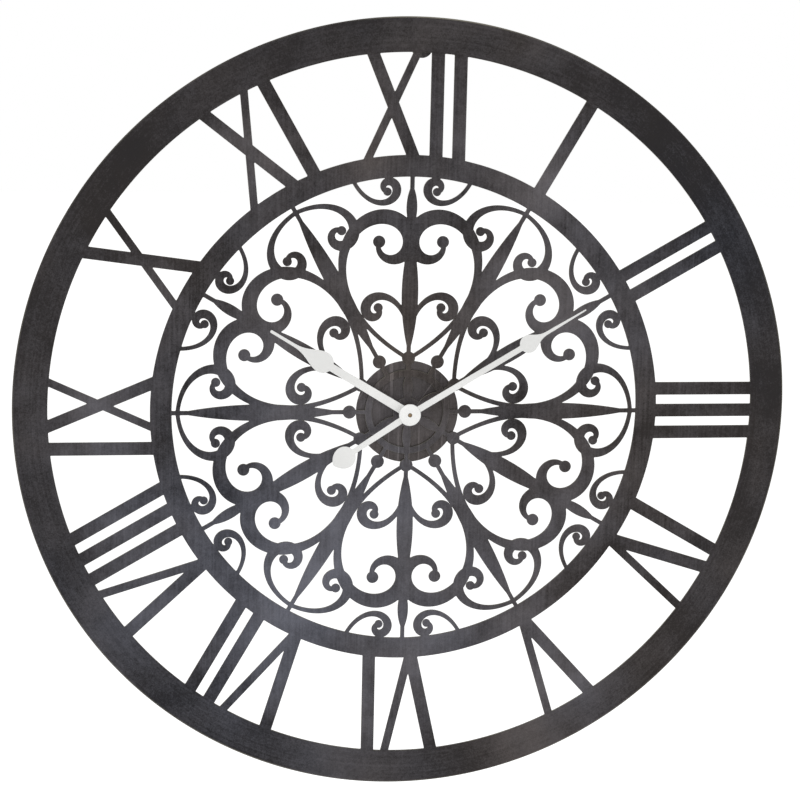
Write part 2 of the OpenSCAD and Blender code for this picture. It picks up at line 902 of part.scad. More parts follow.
// A hand along y: rod, round bulb, hollow taper, thin point with a round tip.
// rod is [half width at the axis, at the bulb], taper is [length, hollowness] and point
// is [half width where it starts, at its tip].
function hand_side(len, bulb, bulb_r, rod, taper, point) = concat(
    [[rod[0], 0]],
    bulb_back(bulb, bulb_r, bulb_r, rod[1]),
    [for (i = [1:20])
        let (u = i / 20, share = pow((1 + cos(180 * u)) / 2, taper[1]))
        [point[0] + (bulb_r - point[0]) * share, bulb + taper[0] * u]],
    [for (i = [0:4])
        let (a = 90 * i / 4)
        [point[1] * cos(a), len - point[1] + point[1] * sin(a)]]);

function tail_side(place, half, near, away, rod) = concat(
    [[rod[0], 0]],
    bulb_back(place, half, near, rod[1]),
    [for (i = [1:16])
        let (v = i / 16)
        [half * pow(1 - v * v, tail_power), place + away * v]]);

// A flat shape that is the same on both sides of y
module mirrored(side) {
    polygon(concat(side, [for (i = [len(side) - 1:-1:0]) [-side[i].x, side[i].y]]));
}

module hour_hand() {
    color(white) on_wall() rotate(-hour_angle) difference() {
        union() {
            slab([hour_hand_z, hour_tube_top]) {
                mirrored(hand_side(hour_len, hour_bulb, hour_bulb_r, hour_rod,
                    hour_taper, hour_point));
                circle(hour_boss_r);
            }
            rod([hour_hand_z - collet_h, hour_hand_z], hour_tube_r + collet_wall);
        }
        rod([hour_hand_z - 3, hour_tube_top + 1], hour_tube_r);
    }
}

module minute_hand() {
    color(white) on_wall() rotate(-minute_angle) difference() {
        union() {
            slab([minute_hand_z, minute_hand_z + hand_t]) {
                mirrored(hand_side(minute_len, minute_bulb, minute_bulb_r, minute_rod,
                    minute_taper, minute_point));
                rotate(180 + tail_lean) mirrored(tail_side(minute_tail, tail_half, tail_near,
                    tail_away, tail_rod));
                circle(minute_boss_r);
            }
            rod([minute_hand_z - collet_h, minute_hand_z], minute_arbor_r + collet_wall);
        }
        rod([minute_hand_z - 3, minute_hand_z + hand_t + 1], minute_arbor_r);
    }
}

module hand_cap() {
    foot = minute_hand_z + hand_t;
    color(white) on_wall() rotate_extrude() polygon([
        [minute_arbor_r, foot], [cap_r, foot], [cap_r, cap_top - cap_edge],
        [cap_r - cap_soft, cap_top - cap_soft], [cap_r - cap_edge, cap_top],
        [minute_arbor_r, cap_top]]);
}

outer_ring();
inner_ring();
for (k = [1:12]) numeral(k);
for (k = [1:panels]) scroll_panel(k);
centre_boss();
mounting_disc();
hanging_bracket();
wall_posts();
wall_pads();
front_case();
rear_cover();
threaded_bushing();
gasket();
washer();
hex_nut();
circuit_board();
quartz_crystal();
control_chip();
coil_bobbin();
coil_winding();
coil_core();
stator();
rotor();
intermediate_wheel();
seconds_wheel();
third_wheel();
centre_wheel();
minute_arbor();
minute_wheel();
hour_wheel();
setting_arbor();
setting_knob();
positive_contact();
negative_contact();
battery();
hour_hand();
minute_hand();
hand_cap();
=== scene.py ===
import json
import math

import bmesh
import bpy
import numpy as np
from mathutils import Matrix, Vector
from mathutils.geometry import delaunay_2d_cdt


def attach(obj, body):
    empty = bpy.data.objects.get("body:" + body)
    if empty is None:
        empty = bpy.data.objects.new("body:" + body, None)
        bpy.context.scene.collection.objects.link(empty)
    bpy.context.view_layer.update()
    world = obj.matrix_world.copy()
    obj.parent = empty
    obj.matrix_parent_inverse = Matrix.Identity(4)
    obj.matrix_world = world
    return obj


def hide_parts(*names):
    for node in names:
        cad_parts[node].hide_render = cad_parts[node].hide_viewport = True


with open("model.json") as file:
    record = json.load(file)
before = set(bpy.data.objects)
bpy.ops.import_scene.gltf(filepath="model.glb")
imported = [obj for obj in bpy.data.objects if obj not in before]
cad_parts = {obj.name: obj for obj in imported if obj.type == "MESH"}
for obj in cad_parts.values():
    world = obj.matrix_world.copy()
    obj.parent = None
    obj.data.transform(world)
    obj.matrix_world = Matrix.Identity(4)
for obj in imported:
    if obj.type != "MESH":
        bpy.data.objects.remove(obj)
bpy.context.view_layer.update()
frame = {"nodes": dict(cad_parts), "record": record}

bl_info = {
    "name": "Skeleton wall clock",
    "version": (1, 0, 0),
    "blender": (4, 5, 0),
    "location": "3D View > Sidebar > Clock",
    "description": "Builds an open sheet-steel wall clock around its packed frame",
    "category": "Add Mesh",
}

# The dial is worked out flat, in millimetres: x to the right, y up, z towards the viewer,
# with z = 0 at the sheet's front face and the hands' axis at x = y = 0. The hanging eye is
# EYE_HEIGHT above that axis, and the wall is WALL_GAP behind that face.
EYE_HEIGHT = 378
WALL_GAP = 24
TAU = 2 * math.pi
SMOOTH, FLAT = True, False


def to_row(x, y, z):
    """A point of the flat dial, in the frame's metres."""
    return (x / 1000, -(z + WALL_GAP) / 1000, (y - EYE_HEIGHT) / 1000)


def as_drawn(*point):
    """A point of a piece that is already where it belongs."""
    return point


def linear(level):
    """One channel of a screen colour, 0 to 255, with the screen's curve taken out."""
    level /= 255
    return level / 12.92 if level <= 0.04045 else ((level + 0.055) / 1.055) ** 2.4


def rgb(red, green, blue):
    """A colour as a screen shows it, in the linear values that a shader takes."""
    return (linear(red), linear(green), linear(blue))


# Properties

def length(name, description, millimetres):
    return bpy.props.FloatProperty(name=name, description=description, min=0, precision=5,
                                   default=millimetres / 1000, unit="LENGTH")


def lengths(name, description, *millimetres):
    return bpy.props.FloatVectorProperty(name=name, description=description, min=0,
                                         precision=5, size=len(millimetres), unit="LENGTH",
                                         default=[v / 1000 for v in millimetres])


def number(name, description, value, **more):
    return bpy.props.FloatProperty(name=name, description=description, default=value, **more)


def angle(name, description, degrees):
    return bpy.props.FloatProperty(name=name, description=description, unit="ROTATION",
                                   default=math.radians(degrees))


def colour(name, description, red, green, blue):
    return bpy.props.FloatVectorProperty(name=name, description=description, size=3, min=0,
                                         max=1, subtype="COLOR",
                                         default=rgb(red, green, blue))


class ClockDial(bpy.types.PropertyGroup):
    """Sizes of the sheet-steel dial"""
    radius: length("Dial radius", "Outside radius of the dial", 400)
    rim: length("Outer ring width", "Width of the outer ring", 35.1)
    inner_radius: length("Inner ring radius", "Outside radius of the inner ring", 262.9)
    inner_width: length("Inner ring width", "Width of the inner ring", 21.85)
    sheet: length("Sheet thickness", "Thickness of the steel sheet", 2)
    disc_radius: length("Disc radius", "Radius of the mounting disc", 53)
    disc_thickness: length("Disc thickness", "Thickness of the mounting disc", 1.5)
    collar_radius: length("Collar radius", "Outside radius of the centre collar", 44)
    collar_width: length("Collar width", "Width of the centre collar", 7)
    boss_radius: length("Boss radius", "Radius of the plain boss under the nut", 15)
    edge: length("Rolled edge", "How far the sheet's cut edges are worn round", 0.3)
    inner_corner: length("Inner corner", "Radius of the sheet's inner corners", 0.8)
    outer_corner: length("Outer corner", "Radius of the sheet's outer corners", 0.4)
    thick_stroke: length("Thick stroke", "Width of a numeral's thick strokes", 13.4)
    thin_stroke: length("Thin stroke", "Width of a numeral's thin strokes", 8.7)


class ClockScrolls(bpy.types.PropertyGroup):
    """Sizes of the scrollwork"""
    panels: bpy.props.IntProperty(name="Panels", default=6, min=3, max=12,
                                  description="Number of panels round the centre")
    rod: length("Rod width", "Width of the straight rods", 4.4)
    spear: length("Spear width", "Width of the long leaves", 17)
    tip: length("Tip leaf width", "Width of the leaf at the ring", 11)
    petal: length("Petal width", "Width of the petals in the centre", 10)
    knot: length("Knot radius", "Radius of the round knots near the collar", 6.8)
    heart: length("Heart scroll width", "Widest part of the large scrolls", 15.5)
    leaf: length("Leaf scroll width", "Widest part of the scrolls by the axis", 10.5)
    corner: length("Corner scroll width", "Widest part of the corner scrolls", 11)
    by_ring: length("Ring scroll width", "Widest part of the scrolls at the ring", 9)
    thin: length("Thin width", "Narrowest part of the large scrolls", 4.2)
    small_thin: length("Small thin width", "Narrowest part of the small scrolls", 4)
    ball: length("Ball radius", "Radius of the ball in a large scroll", 6.2)
    small_ball: length("Small ball radius", "Radius of the ball in a small scroll", 4.7)


class ClockHands(bpy.types.PropertyGroup):
    """Sizes of the hands"""
    minute: length("Minute hand", "Length of the minute hand", 210.5)
    minute_bulb: length("Minute bulb", "Distance of the minute hand's bulb", 142)
    minute_bulb_radius: length("Minute bulb radius", "Radius of that bulb", 9.4)
    minute_rod: lengths("Minute rod", "Half widths of the minute hand's rod, at the axis "
                        "and at the bulb", 3.3, 2.9)
    tail: length("Tail", "Distance of the widest part of the tail", 79.5)
    tail_rod: lengths("Tail rod", "Half widths of the tail, at the axis and at the "
                      "counterweight", 3.5, 2.8)
    tail_half: length("Tail width", "Half width of the counterweight", 11.4)
    tail_lean: angle("Tail lean", "How far the tail leans off the hand's line", 2.6)
    hour: length("Hour hand", "Length of the hour hand", 166.5)
    hour_bulb: length("Hour bulb", "Distance of the hour hand's bulb", 104)
    hour_bulb_radius: length("Hour bulb radius", "Radius of that bulb", 11)
    hour_rod: lengths("Hour rod", "Half widths of the hour hand's rod, at the axis and at "
                      "the bulb", 4.7, 4.1)
    thickness: length("Hand thickness", "Thickness of the hands", 0.9)
    minute_angle: angle("Minute angle", "Direction of the minute hand, clockwise", 59)
    hour_angle: angle("Hour angle", "Direction of the hour hand, clockwise", 301)
    cap: length("Cap radius", "Radius of the cap on the hands' axis", 11.2)


class ClockFinish(bpy.types.PropertyGroup):
    """Colours of the finishes"""
    steel: colour("Steel", "Dark steel of the dial", 33, 33, 36)
    # The light end of the steel: painted sheen, and rubbing
    rubbed: colour("Rubbed steel", "Places on the dial that are rubbed light", 105, 106, 115)
    # Also the painted glint of light along the dial's edges
    worn: colour("Worn edge", "Bare metal along the cut edges", 128, 124, 112)
    tinge: colour("Tinge", "Warm brown tinge in the dial's finish", 74, 67, 62)
    white: colour("White", "White paint of the hands", 239, 239, 237)
    cap: colour("Cap", "White plastic of the cap", 248, 248, 246)
    black: colour("Black", "Black plastic of the movement", 30, 30, 31)
    rubber: colour("Rubber", "Rubber of the pads and the gasket", 26, 26, 26)
    pale: colour("Pale plastic", "Natural plastic of the wheels", 222, 220, 210)
    brass: colour("Brass", "Turned brass", 198, 160, 92)
    dull: colour("Dull brass", "Brass of the arbor's end, gone dull", 150, 130, 104)
    # Brass darkened as painted shade, for the washer and nut in shade and the cap's shaded
    # recess
    browned: colour("Browned brass", "Brass of the washer, the nut and the cap's recess",
                    70, 56, 42)
    bright: colour("Bright steel", "Nickel-plated steel", 190, 188, 184)
    copper: colour("Copper", "Enamelled copper wire", 186, 106, 62)
    board: colour("Board", "Green circuit board", 38, 94, 58)
    wrap: colour("Cell wrap", "Plain wrap of the cell", 52, 96, 104)
    band: colour("Cell band", "Plain band at the cell's plus end", 178, 182, 186)


class ClockStage(bpy.types.PropertyGroup):
    """Floor, lamps and camera"""
    floor: colour("Floor", "Pale floor", 236, 236, 236)
    drop: bpy.props.FloatProperty(name="Floor height", default=-1.9, unit="LENGTH",
                                  description="Height of the floor below the hanging eye")
    ambient: number("Ambient light", "Strength of the light from all round", 0.62)
    key: number("Key light", "Power of the large lamp", 46, unit="POWER")
    lens: number("Lens", "Focal length on a 36 mm sensor", 94.25, unit="CAMERA")


GROUPS = {"clock_dial": ClockDial, "clock_scrolls": ClockScrolls, "clock_hands": ClockHands,
          "clock_finish": ClockFinish, "clock_stage": ClockStage}


class Sizes:
    """A property group with its lengths in millimetres."""

    def __init__(self, group):
        self.group = getattr(bpy.context.scene, group)

    def __getattr__(self, name):
        value = getattr(self.group, name)
        if self.group.bl_rna.properties[name].unit != "LENGTH":
            return value
        return value * 1000 if isinstance(value, float) else [v * 1000 for v in value]


# Node graphs

class Value:
    """An output socket. Arithmetic on it adds Math nodes to its graph."""

    def __init__(self, graph, socket):
        self.graph, self.socket = graph, socket

    def out(self, name):
        """Another output of the same node."""
        return Value(self.graph, find(self.socket.node.outputs, name))

    def __add__(self, other):
        return self.graph.math("ADD", self, other)

    def __sub__(self, other):
        return self.graph.math("SUBTRACT", self, other)

    def __rsub__(self, other):
        return self.graph.math("SUBTRACT", other, self)

    def __mul__(self, other):
        return self.graph.math("MULTIPLY", self, other)

    def __truediv__(self, other):
        return self.graph.math("DIVIDE", self, other)

    def __rtruediv__(self, other):
        return self.graph.math("DIVIDE", other, self)

    def __pow__(self, other):
        return self.graph.math("POWER", self, other)

    def __lt__(self, other):
        return self.graph.math("LESS_THAN", self, other)

    def __gt__(self, other):
        return self.graph.math("GREATER_THAN", self, other)

    __radd__ = __add__
    __rmul__ = __mul__


def find(sockets, key):
    if isinstance(key, int):
        return sockets[key]
    return next(s for s in sockets if s.enabled and s.name == key)


class Graph:
    """Adds nodes to a shader or geometry tree."""

    def __init__(self, tree):
        self.tree = tree

    def link(self, value, socket):
        self.tree.links.new(value.socket, socket)

    def node(self, kind, settings=None, sockets=None, out=0):
        """Adds one node: its settings first, then its socket values or links."""
        made = self.tree.nodes.new(kind)
        for name, value in (settings or {}).items():
            setattr(made, name, value)
        for key, value in (sockets or {}).items():
            socket = find(made.inputs, key)
            if isinstance(value, list):
                for each in value:
                    self.link(each, socket)
            elif isinstance(value, Value):
                self.link(value, socket)
            else:
                socket.default_value = value
        return Value(self, find(made.outputs, out)) if made.outputs else None

    def math(self, operation, *values):
        return self.node("ShaderNodeMath", {"operation": operation},
                         dict(enumerate(values)))

    def vector(self, operation, *values, out=0):
        return self.node("ShaderNodeVectorMath", {"operation": operation},
                         dict(enumerate(values)), out)

    def smooth(self, value, low, high, to_low=0.0, to_high=1.0):
        return self.node("ShaderNodeMapRange", {"interpolation_type": "SMOOTHSTEP"},
                         {"Value": value, "From Min": low, "From Max": high,
                          "To Min": to_low, "To Max": to_high})

    def mix(self, factor, a, b):
        """Mixes two colours."""
        a, b = ((*c, 1) if isinstance(c, tuple) and len(c) == 3 else c for c in (a, b))
        return self.node("ShaderNodeMix", {"data_type": "RGBA"},
                         {"Factor": factor, "A": a, "B": b}, "Result")

    def noise(self, vector, scale, detail=3.0, roughness=0.5):
        return self.node("ShaderNodeTexNoise", None,
                         {"Vector": vector, "Scale": scale, "Detail": detail,
                          "Roughness": roughness})

    def stretched(self, vector, scale):
        """The same coordinates with a scale for each axis."""
        return self.node("ShaderNodeMapping", None, {"Vector": vector, "Scale": scale})

    def split(self, vector):
        first = self.node("ShaderNodeSeparateXYZ", None, {"Vector": vector})
        return first, first.out("Y"), first.out("Z")

    def join(self, x, y, z):
        return self.node("ShaderNodeCombineXYZ", None, {"X": x, "Y": y, "Z": z})

    def seen(self):
        """1 for what is seen directly, in gloss or through glass, and 0 for its light."""
        ray = self.node("ShaderNodeLightPath", None, None, "Is Camera Ray")
        return self.math("MAXIMUM", self.math("MAXIMUM", ray, ray.out("Is Glossy Ray")),
                         ray.out("Is Transmission Ray"))


# Materials

MADE = {}


def new_material(name):
    """A Principled material, with its graph and its shader."""
    material = bpy.data.materials.new(name)
    material.use_nodes = True
    nodes = material.node_tree.nodes
    return material, Graph(material.node_tree), nodes["Principled BSDF"]


def finish(name, fixed, varied):
    """A Principled material: fixed socket values, and the ones a function varies."""
    material, graph, shader = new_material(name)
    for key, value in fixed.items():
        shader.inputs[key].default_value = value
    place = graph.node("ShaderNodeTexCoord", None, None, "Object")
    for key, value in varied(graph, place).items():
        graph.link(value, shader.inputs[key])
    MADE[name] = material


def bump(graph, height, strength, distance):
    return graph.node("ShaderNodeBump", None,
                      {"Strength": strength, "Distance": distance, "Height": height})


def times(shade, factor):
    """A colour made darker or lighter."""
    return tuple(min(1, c * factor) for c in shade)


# Places on the dial with painted sheen, or painted shade where it is darker, for the light
# its steel reflects: x and y from the hands' axis and the reach, in millimetres, and how
# much lighter the place is
PAINTED_SHEEN = (
    (-60, -150, 280, 0.3), (-285, -185, 120, 0.22), (-110, -150, 90, 0.18),
    (-60, -10, 80, 0.17), (-325, -20, 90, 0.3), (-140, 75, 90, 0.13), (135, 105, 100, 0.4),
    (130, 262, 75, 0.3), (-180, 275, 80, 0.08), (150, -300, 120, 0.3),
    (-290, 200, 170, -0.12), (290, 250, 170, -0.14), (330, -20, 130, -0.2),
    (-180, -90, 70, -0.22), (-90, -366, 60, 0.12), (140, -380, 60, 0.2),
    (38, 275, 45, 0.24), (145, 243, 40, 0.2))
# The same for its brown tinge, where these spots also paint the colour of the reflected light
TINGE_AND_SHEEN_TINT = (
    (-160, -190, 360, -0.46), (300, 180, 190, -0.36), (0, 60, 130, 0.4),
    (-60, 280, 80, 0.22), (230, -60, 160, 0.18), (320, -280, 130, 0.1),
    (0, -380, 110, 0.1), (140, -380, 90, 0.27))
# And for the worn metal along its outer edge, with a painted glint of light where it is lit
EDGE_GLINT_SPOTS = ((30, 400, 110, 0.6), (-230, -330, 260, 0.3), (250, -320, 260, 0.25))
# How fine the noises of the steel's finish are, in waves for each metre
GLINT_WEAR_SPOTS, CLOUDS, TINGE_CLOUDS, MOTTLE, CHIPS, SPECKLE, GRAIN = 9, 11, 13, 34, 60, 280, 900
# The same for its scratches and its brushing, along x, y and z
UPRIGHT_SCRATCHES, LEANING_SCRATCHES, LEAN = (460, 60, 11), (360, 60, 14), -0.6
DISC_BRUSHING, FIXING_BRUSHING = (330, 60, 14), (500, 500, 40)
ACROSS_BRUSHING, UP_BRUSHING, ACROSS_RIM, AROUND_RIM = 380, 12, 420, 2.2
# Where the dial's finish changes, in metres from the hands' axis
BY_THE_HUB, DARKER, TO_RIM = (0.05, 0.06), (0.305, 0.372), (0.35, 0.37)
# Then where the rim's brushing starts, and the band along the outer edge with its worn metal
# and painted glint
RIM_FROM, EDGE_GLINT_BAND = 0.36, (0.3984, 0.3992)
# Where painted shade darkens the hands' white, in metres from the hands' axis
WHITE_SHADED = (0.05, 0.1)
# How far its spots wander from a round shape, in metres, and in waves for each metre
WANDER, WANDER_WAVES = 0.09, 13


def dial_steel(graph, place, streaks, brushed, clouded, tone, tinge, bare=0.0):
    """Dark steel, lighter in soft clouds, partly painted sheen, with worn metal along its cut
    edges that also paints their glint of light.

    streaks are the coordinates in which its brushing runs. brushed and clouded tell how
    strong the brushing and the clouds are, tone how light the steel is, painted sheen and
    shade included, tinge how brown, and the last argument how much of it shows that worn
    metal and painted glint away from the cut edges."""
    look = bpy.context.scene.clock_finish
    clouds = graph.noise(place, CLOUDS, 4, 0.5)
    mottle = graph.noise(place, MOTTLE, 4, 0.6)
    speckle = graph.noise(place, SPECKLE, 3, 0.6)
    grain = graph.noise(place, GRAIN, 2, 0.6)
    line = graph.noise(streaks, 1, 4, 0.6)
    shade = tone + ((clouds - 0.5) * 1.4 + mottle - 0.5) * clouded + (line - 0.5) * brushed
    shade = shade + (grain - 0.5) * 0.5 + (speckle - 0.5) * 0.34
    shade = graph.math("MAXIMUM", shade, 0.04)
    warm = tinge + (graph.noise(place, TINGE_CLOUDS, 3, 0.5) - 0.5) * 0.6
    base = graph.mix(shade, tuple(look.steel), tuple(look.rubbed))
    brown = graph.mix(shade, times(look.tinge, 0.5), times(look.tinge, 2))
    # Worn metal along the cut edges and the outer edge, which also paints the glint of light
    # on them
    cut = graph.node("ShaderNodeAttribute", {"attribute_name": "cut"}, None, "Fac")
    edge = cut * graph.smooth(graph.noise(place, CHIPS, 3, 0.6), 0.3, 0.62, 0.35, 1)
    edge = graph.math("MAXIMUM", edge, bare)
    base = graph.mix(edge, graph.mix(warm, base, brown), tuple(look.worn))
    rough = 0.5 - shade * 0.2 + (line - 0.5) * 0.12
    height = line * 0.5 + grain * 0.5
    return {"Base Color": base, "Roughness": rough,
            "Normal": bump(graph, height, 0.06, 0.0002)}


def spotted(graph, place, value, spots):
    """A value that rises or falls in soft spots of the dial."""
    for x, y, reach, more in spots:
        away = graph.vector("DISTANCE", place, to_row(x, y, 0), out="Value")
        value = graph.smooth(away, 0.0, reach / 1000, more, 0.0) + value
    return value


def wandered(graph, place):
    """The same coordinates moved about, so that spots come out ragged."""
    wander = graph.noise(place, WANDER_WAVES).out("Color")
    offset = graph.vector("MULTIPLY_ADD", wander, (WANDER,) * 3, (-WANDER / 2,) * 3)
    return graph.vector("ADD", place, offset)


def from_axis(graph, place):
    """Place across, height and distance from the hands' axis, in metres."""
    x, _, z = graph.split(place)
    up = z + EYE_HEIGHT / 1000
    return x, up, graph.math("SQRT", x * x + up * up)


def scratched(graph, place):
    """A few fine light scratches, most of them upright."""
    upright = graph.noise(graph.stretched(place, UPRIGHT_SCRATCHES), 1, 2, 0.5)
    leaning = graph.node("ShaderNodeMapping", None,
                         {"Vector": place, "Rotation": (0, LEAN, 0)})
    leaning = graph.noise(graph.stretched(leaning, LEANING_SCRATCHES), 1, 2, 0.5)
    return (graph.smooth(upright, 0.6, 0.74, 0.0, 0.6)
            + graph.smooth(leaning, 0.66, 0.76, 0.0, 0.6))


def polar_streaks(graph, place):
    """Coordinates in which noise runs in fine streaks: round the rim, upright inside it."""
    x, up, radius = from_axis(graph, place)
    around = graph.join(radius * ACROSS_RIM, graph.math("ARCTAN2", up, x) * AROUND_RIM, 0.0)
    upright = graph.join(x * ACROSS_BRUSHING, up * UP_BRUSHING, 4.0)
    return graph.node("ShaderNodeMix", {"data_type": "VECTOR"},
                      {"Factor": radius > RIM_FROM, "A": upright, "B": around}, "Result")


def dial_look(graph, place):
    """The sheet's finish, with painted sheen and shade in soft spots: the rim is darkest, and
    its outer edge shows worn metal with a painted glint in places.
    """
    _, _, radius = from_axis(graph, place)
    # Painted sheen and shade in soft spots over the steel's own tone
    tone = spotted(graph, wandered(graph, place), 0.3, PAINTED_SHEEN)
    tone = tone + graph.smooth(radius, *DARKER, 0.025, -0.14)
    tone = tone + graph.smooth(radius, *BY_THE_HUB, 1.0, 0.0) * scratched(graph, place)
    # Worn spots on the outer edge, which also paint its glint of light, most of all at the
    # top
    bare = graph.smooth(graph.noise(place, GLINT_WEAR_SPOTS, 3, 0.6), 0.35, 0.65, 0.1, 0.35)
    return dial_steel(graph, place, polar_streaks(graph, place),
                      brushed=graph.smooth(radius, *TO_RIM, 0.56, 0.34),
                      clouded=graph.smooth(radius, *TO_RIM, 0.66, 0.36),
                      # The tinge's spots also paint the colour of the reflected light
                      tone=tone, tinge=spotted(graph, place, 0.45, TINGE_AND_SHEEN_TINT),
                      bare=graph.smooth(radius, *EDGE_GLINT_BAND)
                      * spotted(graph, place, bare, EDGE_GLINT_SPOTS))


def disc_look(graph, place):
    """The mounting disc's finish: lighter and scratched."""
    return dial_steel(graph, place, graph.stretched(place, DISC_BRUSHING), brushed=0.5,
                      clouded=0.6, tone=scratched(graph, place) + 0.45, tinge=0.6)


def fixing_look(graph, place):
    """The finish of the bracket and the posts: dark, and little worn light."""
    return dial_steel(graph, place, graph.stretched(place, FIXING_BRUSHING), brushed=0.5,
                      clouded=0.6, tone=0.14, tinge=0.4)


def coated(shade, grain, relief, rough):
    """Paint, plastic or rubber: a little cloudy, with a fine grain in its gloss."""
    def varied(graph, place):
        clouds, fine = graph.noise(place, 35, 4, 0.6), graph.noise(place, grain, 2, 0.6)
        base = graph.mix(graph.smooth(clouds * 0.7 + fine * 0.3, 0.3, 0.7),
                         times(shade, 0.94), times(shade, 1.03))
        return {"Base Color": base, "Roughness": graph.smooth(fine, 0.3, 0.7, *rough),
                "Normal": bump(graph, fine, relief, 0.0001)}
    return varied


def metal(shade, streaks, rough):
    """Bare or plated metal with fine streaks from its making."""
    def varied(graph, place):
        line = graph.noise(graph.stretched(place, streaks), 1, 3, 0.65)
        clouds = graph.noise(place, 160, 3, 0.6)
        base = graph.mix(graph.smooth(line * 0.6 + clouds * 0.4, 0.3, 0.7),
                         times(shade, 0.82), times(shade, 1.08))
        return {"Base Color": base, "Roughness": graph.smooth(clouds, 0.3, 0.7, *rough),
                "Normal": bump(graph, line, 0.08, 0.00005)}
    return varied


def hand_look(graph, place):
    """White paint of the hands, with painted shade darkening it beyond the cap."""
    white = bpy.context.scene.clock_finish.white
    values = coated(white, 1500, 0.05, (0.32, 0.42))(graph, place)
    _, _, radius = from_axis(graph, place)
    # Painted shade: the white darkens away from the axis
    values["Base Color"] = graph.mix(graph.smooth(radius, *WHITE_SHADED),
                                     values["Base Color"], times(white, 0.915))
    return values


def make_materials():
    look = bpy.context.scene.clock_finish
    steel = {"Metallic": 0.55, "Specular IOR Level": 0.16,
             "Specular Tint": (0.4, 0.4, 0.41, 1)}
    finish("dial_paint", steel, dial_look)
    finish("disc_paint", steel, disc_look)
    finish("fixing_paint", steel, fixing_look)
    finish("white_paint", {"Specular IOR Level": 0.4}, hand_look)
    # Gloss, metal and coat, then colour, waves of the grain in a metre, relief, roughness
    for name, gloss, metallic, coat, *rest in (
            ("white_plastic", 0.45, 0, 0, look.cap, 900, 0.03, (0.24, 0.34)),
            ("case_plastic", 0.35, 0, 0, look.black, 2600, 0.35, (0.5, 0.62)),
            ("black_rubber", 0.25, 0, 0, look.rubber, 1400, 0.3, (0.75, 0.88)),
            ("pale_plastic", 0.4, 0, 0, look.pale, 2000, 0.08, (0.34, 0.46)),
            ("green_board", 0.45, 0, 0, look.board, 700, 0.15, (0.35, 0.5)),
            ("chip_resin", 0.5, 0, 0, look.black, 300, 0.2, (0.16, 0.26)),
            ("cell_can", 0.4, 0, 0.3, look.wrap, 600, 0.04, (0.26, 0.36)),
            ("cell_band", 0.4, 0.8, 0, look.band, 600, 0.04, (0.26, 0.34))):
        finish(name, {"Specular IOR Level": gloss, "Metallic": metallic, "Coat Weight": coat},
               coated(*rest))
    # Metal and coat, then colour, waves of the streaks in a metre, roughness
    for name, metallic, coat, *rest in (
            ("brass", 1, 0, look.brass, (300, 3000, 300), (0.24, 0.36)),
            ("dull_brass", 1, 0, look.dull, (300, 3000, 300), (0.34, 0.46)),
            # Brass darkened as painted shade
            ("browned_brass", 0.8, 0, look.browned, (300, 3000, 300), (0.5, 0.6)),
            ("copper_wire", 0.85, 0.4, look.copper, (4000, 300, 300), (0.22, 0.34)),
            ("bright_steel", 1, 0, look.bright, (200, 200, 2400), (0.2, 0.34)),
            ("magnet", 1, 0, look.bright, (900, 900, 900), (0.3, 0.4))):
        finish(name, {"Metallic": metallic, "Coat Weight": coat}, metal(*rest))


# Flat outlines, in millimetres

# Points nearer than this are one, when shapes are laid over each other or filled
LAID_OVER, FILLED = 1e-4, 1e-5
# An area may lose this much in that, in square millimetres
LOST_AREA = 0.5


def circle(radius, at=(0, 0), count=96):
    return [(at[0] + radius * math.cos(TAU * i / count),
             at[1] + radius * math.sin(TAU * i / count)) for i in range(count)]


def box_outline(x0, x1, y0, y1):
    return [(x0, y0), (x1, y0), (x1, y1), (x0, y1)]


def leaf(low, high, width, count=28):
    """A leaf between two heights on the y axis, bounded by two arcs."""
    half = (high - low) / 2
    arc = (half * half + width * width / 4) / width
    reach = math.asin(half / arc)
    side = [(arc * math.cos(a) - arc + width / 2, (low + high) / 2 + arc * math.sin(a))
            for a in (reach * (2 * i / count - 1) for i in range(count + 1))]
    return side + [(-x, y) for x, y in side[-2:0:-1]]


def turn(points, degrees):
    """An outline turned about the hands' axis, anticlockwise."""
    c, s = math.cos(math.radians(degrees)), math.sin(math.radians(degrees))
    return [(x * c - y * s, x * s + y * c) for x, y in points]


def area(points):
    """The area of an outline, which is negative where it runs clockwise."""
    return sum(a[0] * b[1] - b[0] * a[1] for a, b in zip(points, points[1:] + points[:1])) / 2


def flat_mesh(name, shapes):
    mesh = bpy.data.meshes.new(name)
    points, faces = [], []
    for shape in shapes:
        faces.append(range(len(points), len(points) + len(shape)))
        points += [(x, y, 0) for x, y in shape]
    mesh.from_pydata(points, [], [list(f) for f in faces])
    return mesh


def overlaid(shapes, lines):
    """Triangles of overlapping flat shapes, and for each the shapes that it lies in."""
    shapes = [s if area(s) > 0 else s[::-1] for s in shapes]
    for _ in range(4):
        points, edges, faces = [], [], []
        for shape in shapes:
            faces.append(list(range(len(points), len(points) + len(shape))))
            points += shape
        for a, b in lines:
            edges.append((len(points), len(points) + 1))
            points += [a, b]
        spots, _, triangles, _, _, inside = delaunay_2d_cdt(
            [Vector(p) for p in points], edges, faces, 0, LAID_OVER, True)
        spots = [tuple(p) for p in spots]
        found = [0.0] * len(shapes)
        for triangle, owners in zip(triangles, inside):
            share = area([spots[i] for i in triangle])
            for i in owners:
                found[i] += share
        wrong = [i for i, s in enumerate(shapes) if abs(area(s) - found[i]) > LOST_AREA]
        if not wrong:
            return spots, triangles, inside
        # Where edges of two shapes coincide, the filling can start on the wrong side
        for i in wrong:
            shapes[i] = shapes[i][1:] + shapes[i][:1]
    raise RuntimeError("a flat shape can't be filled")


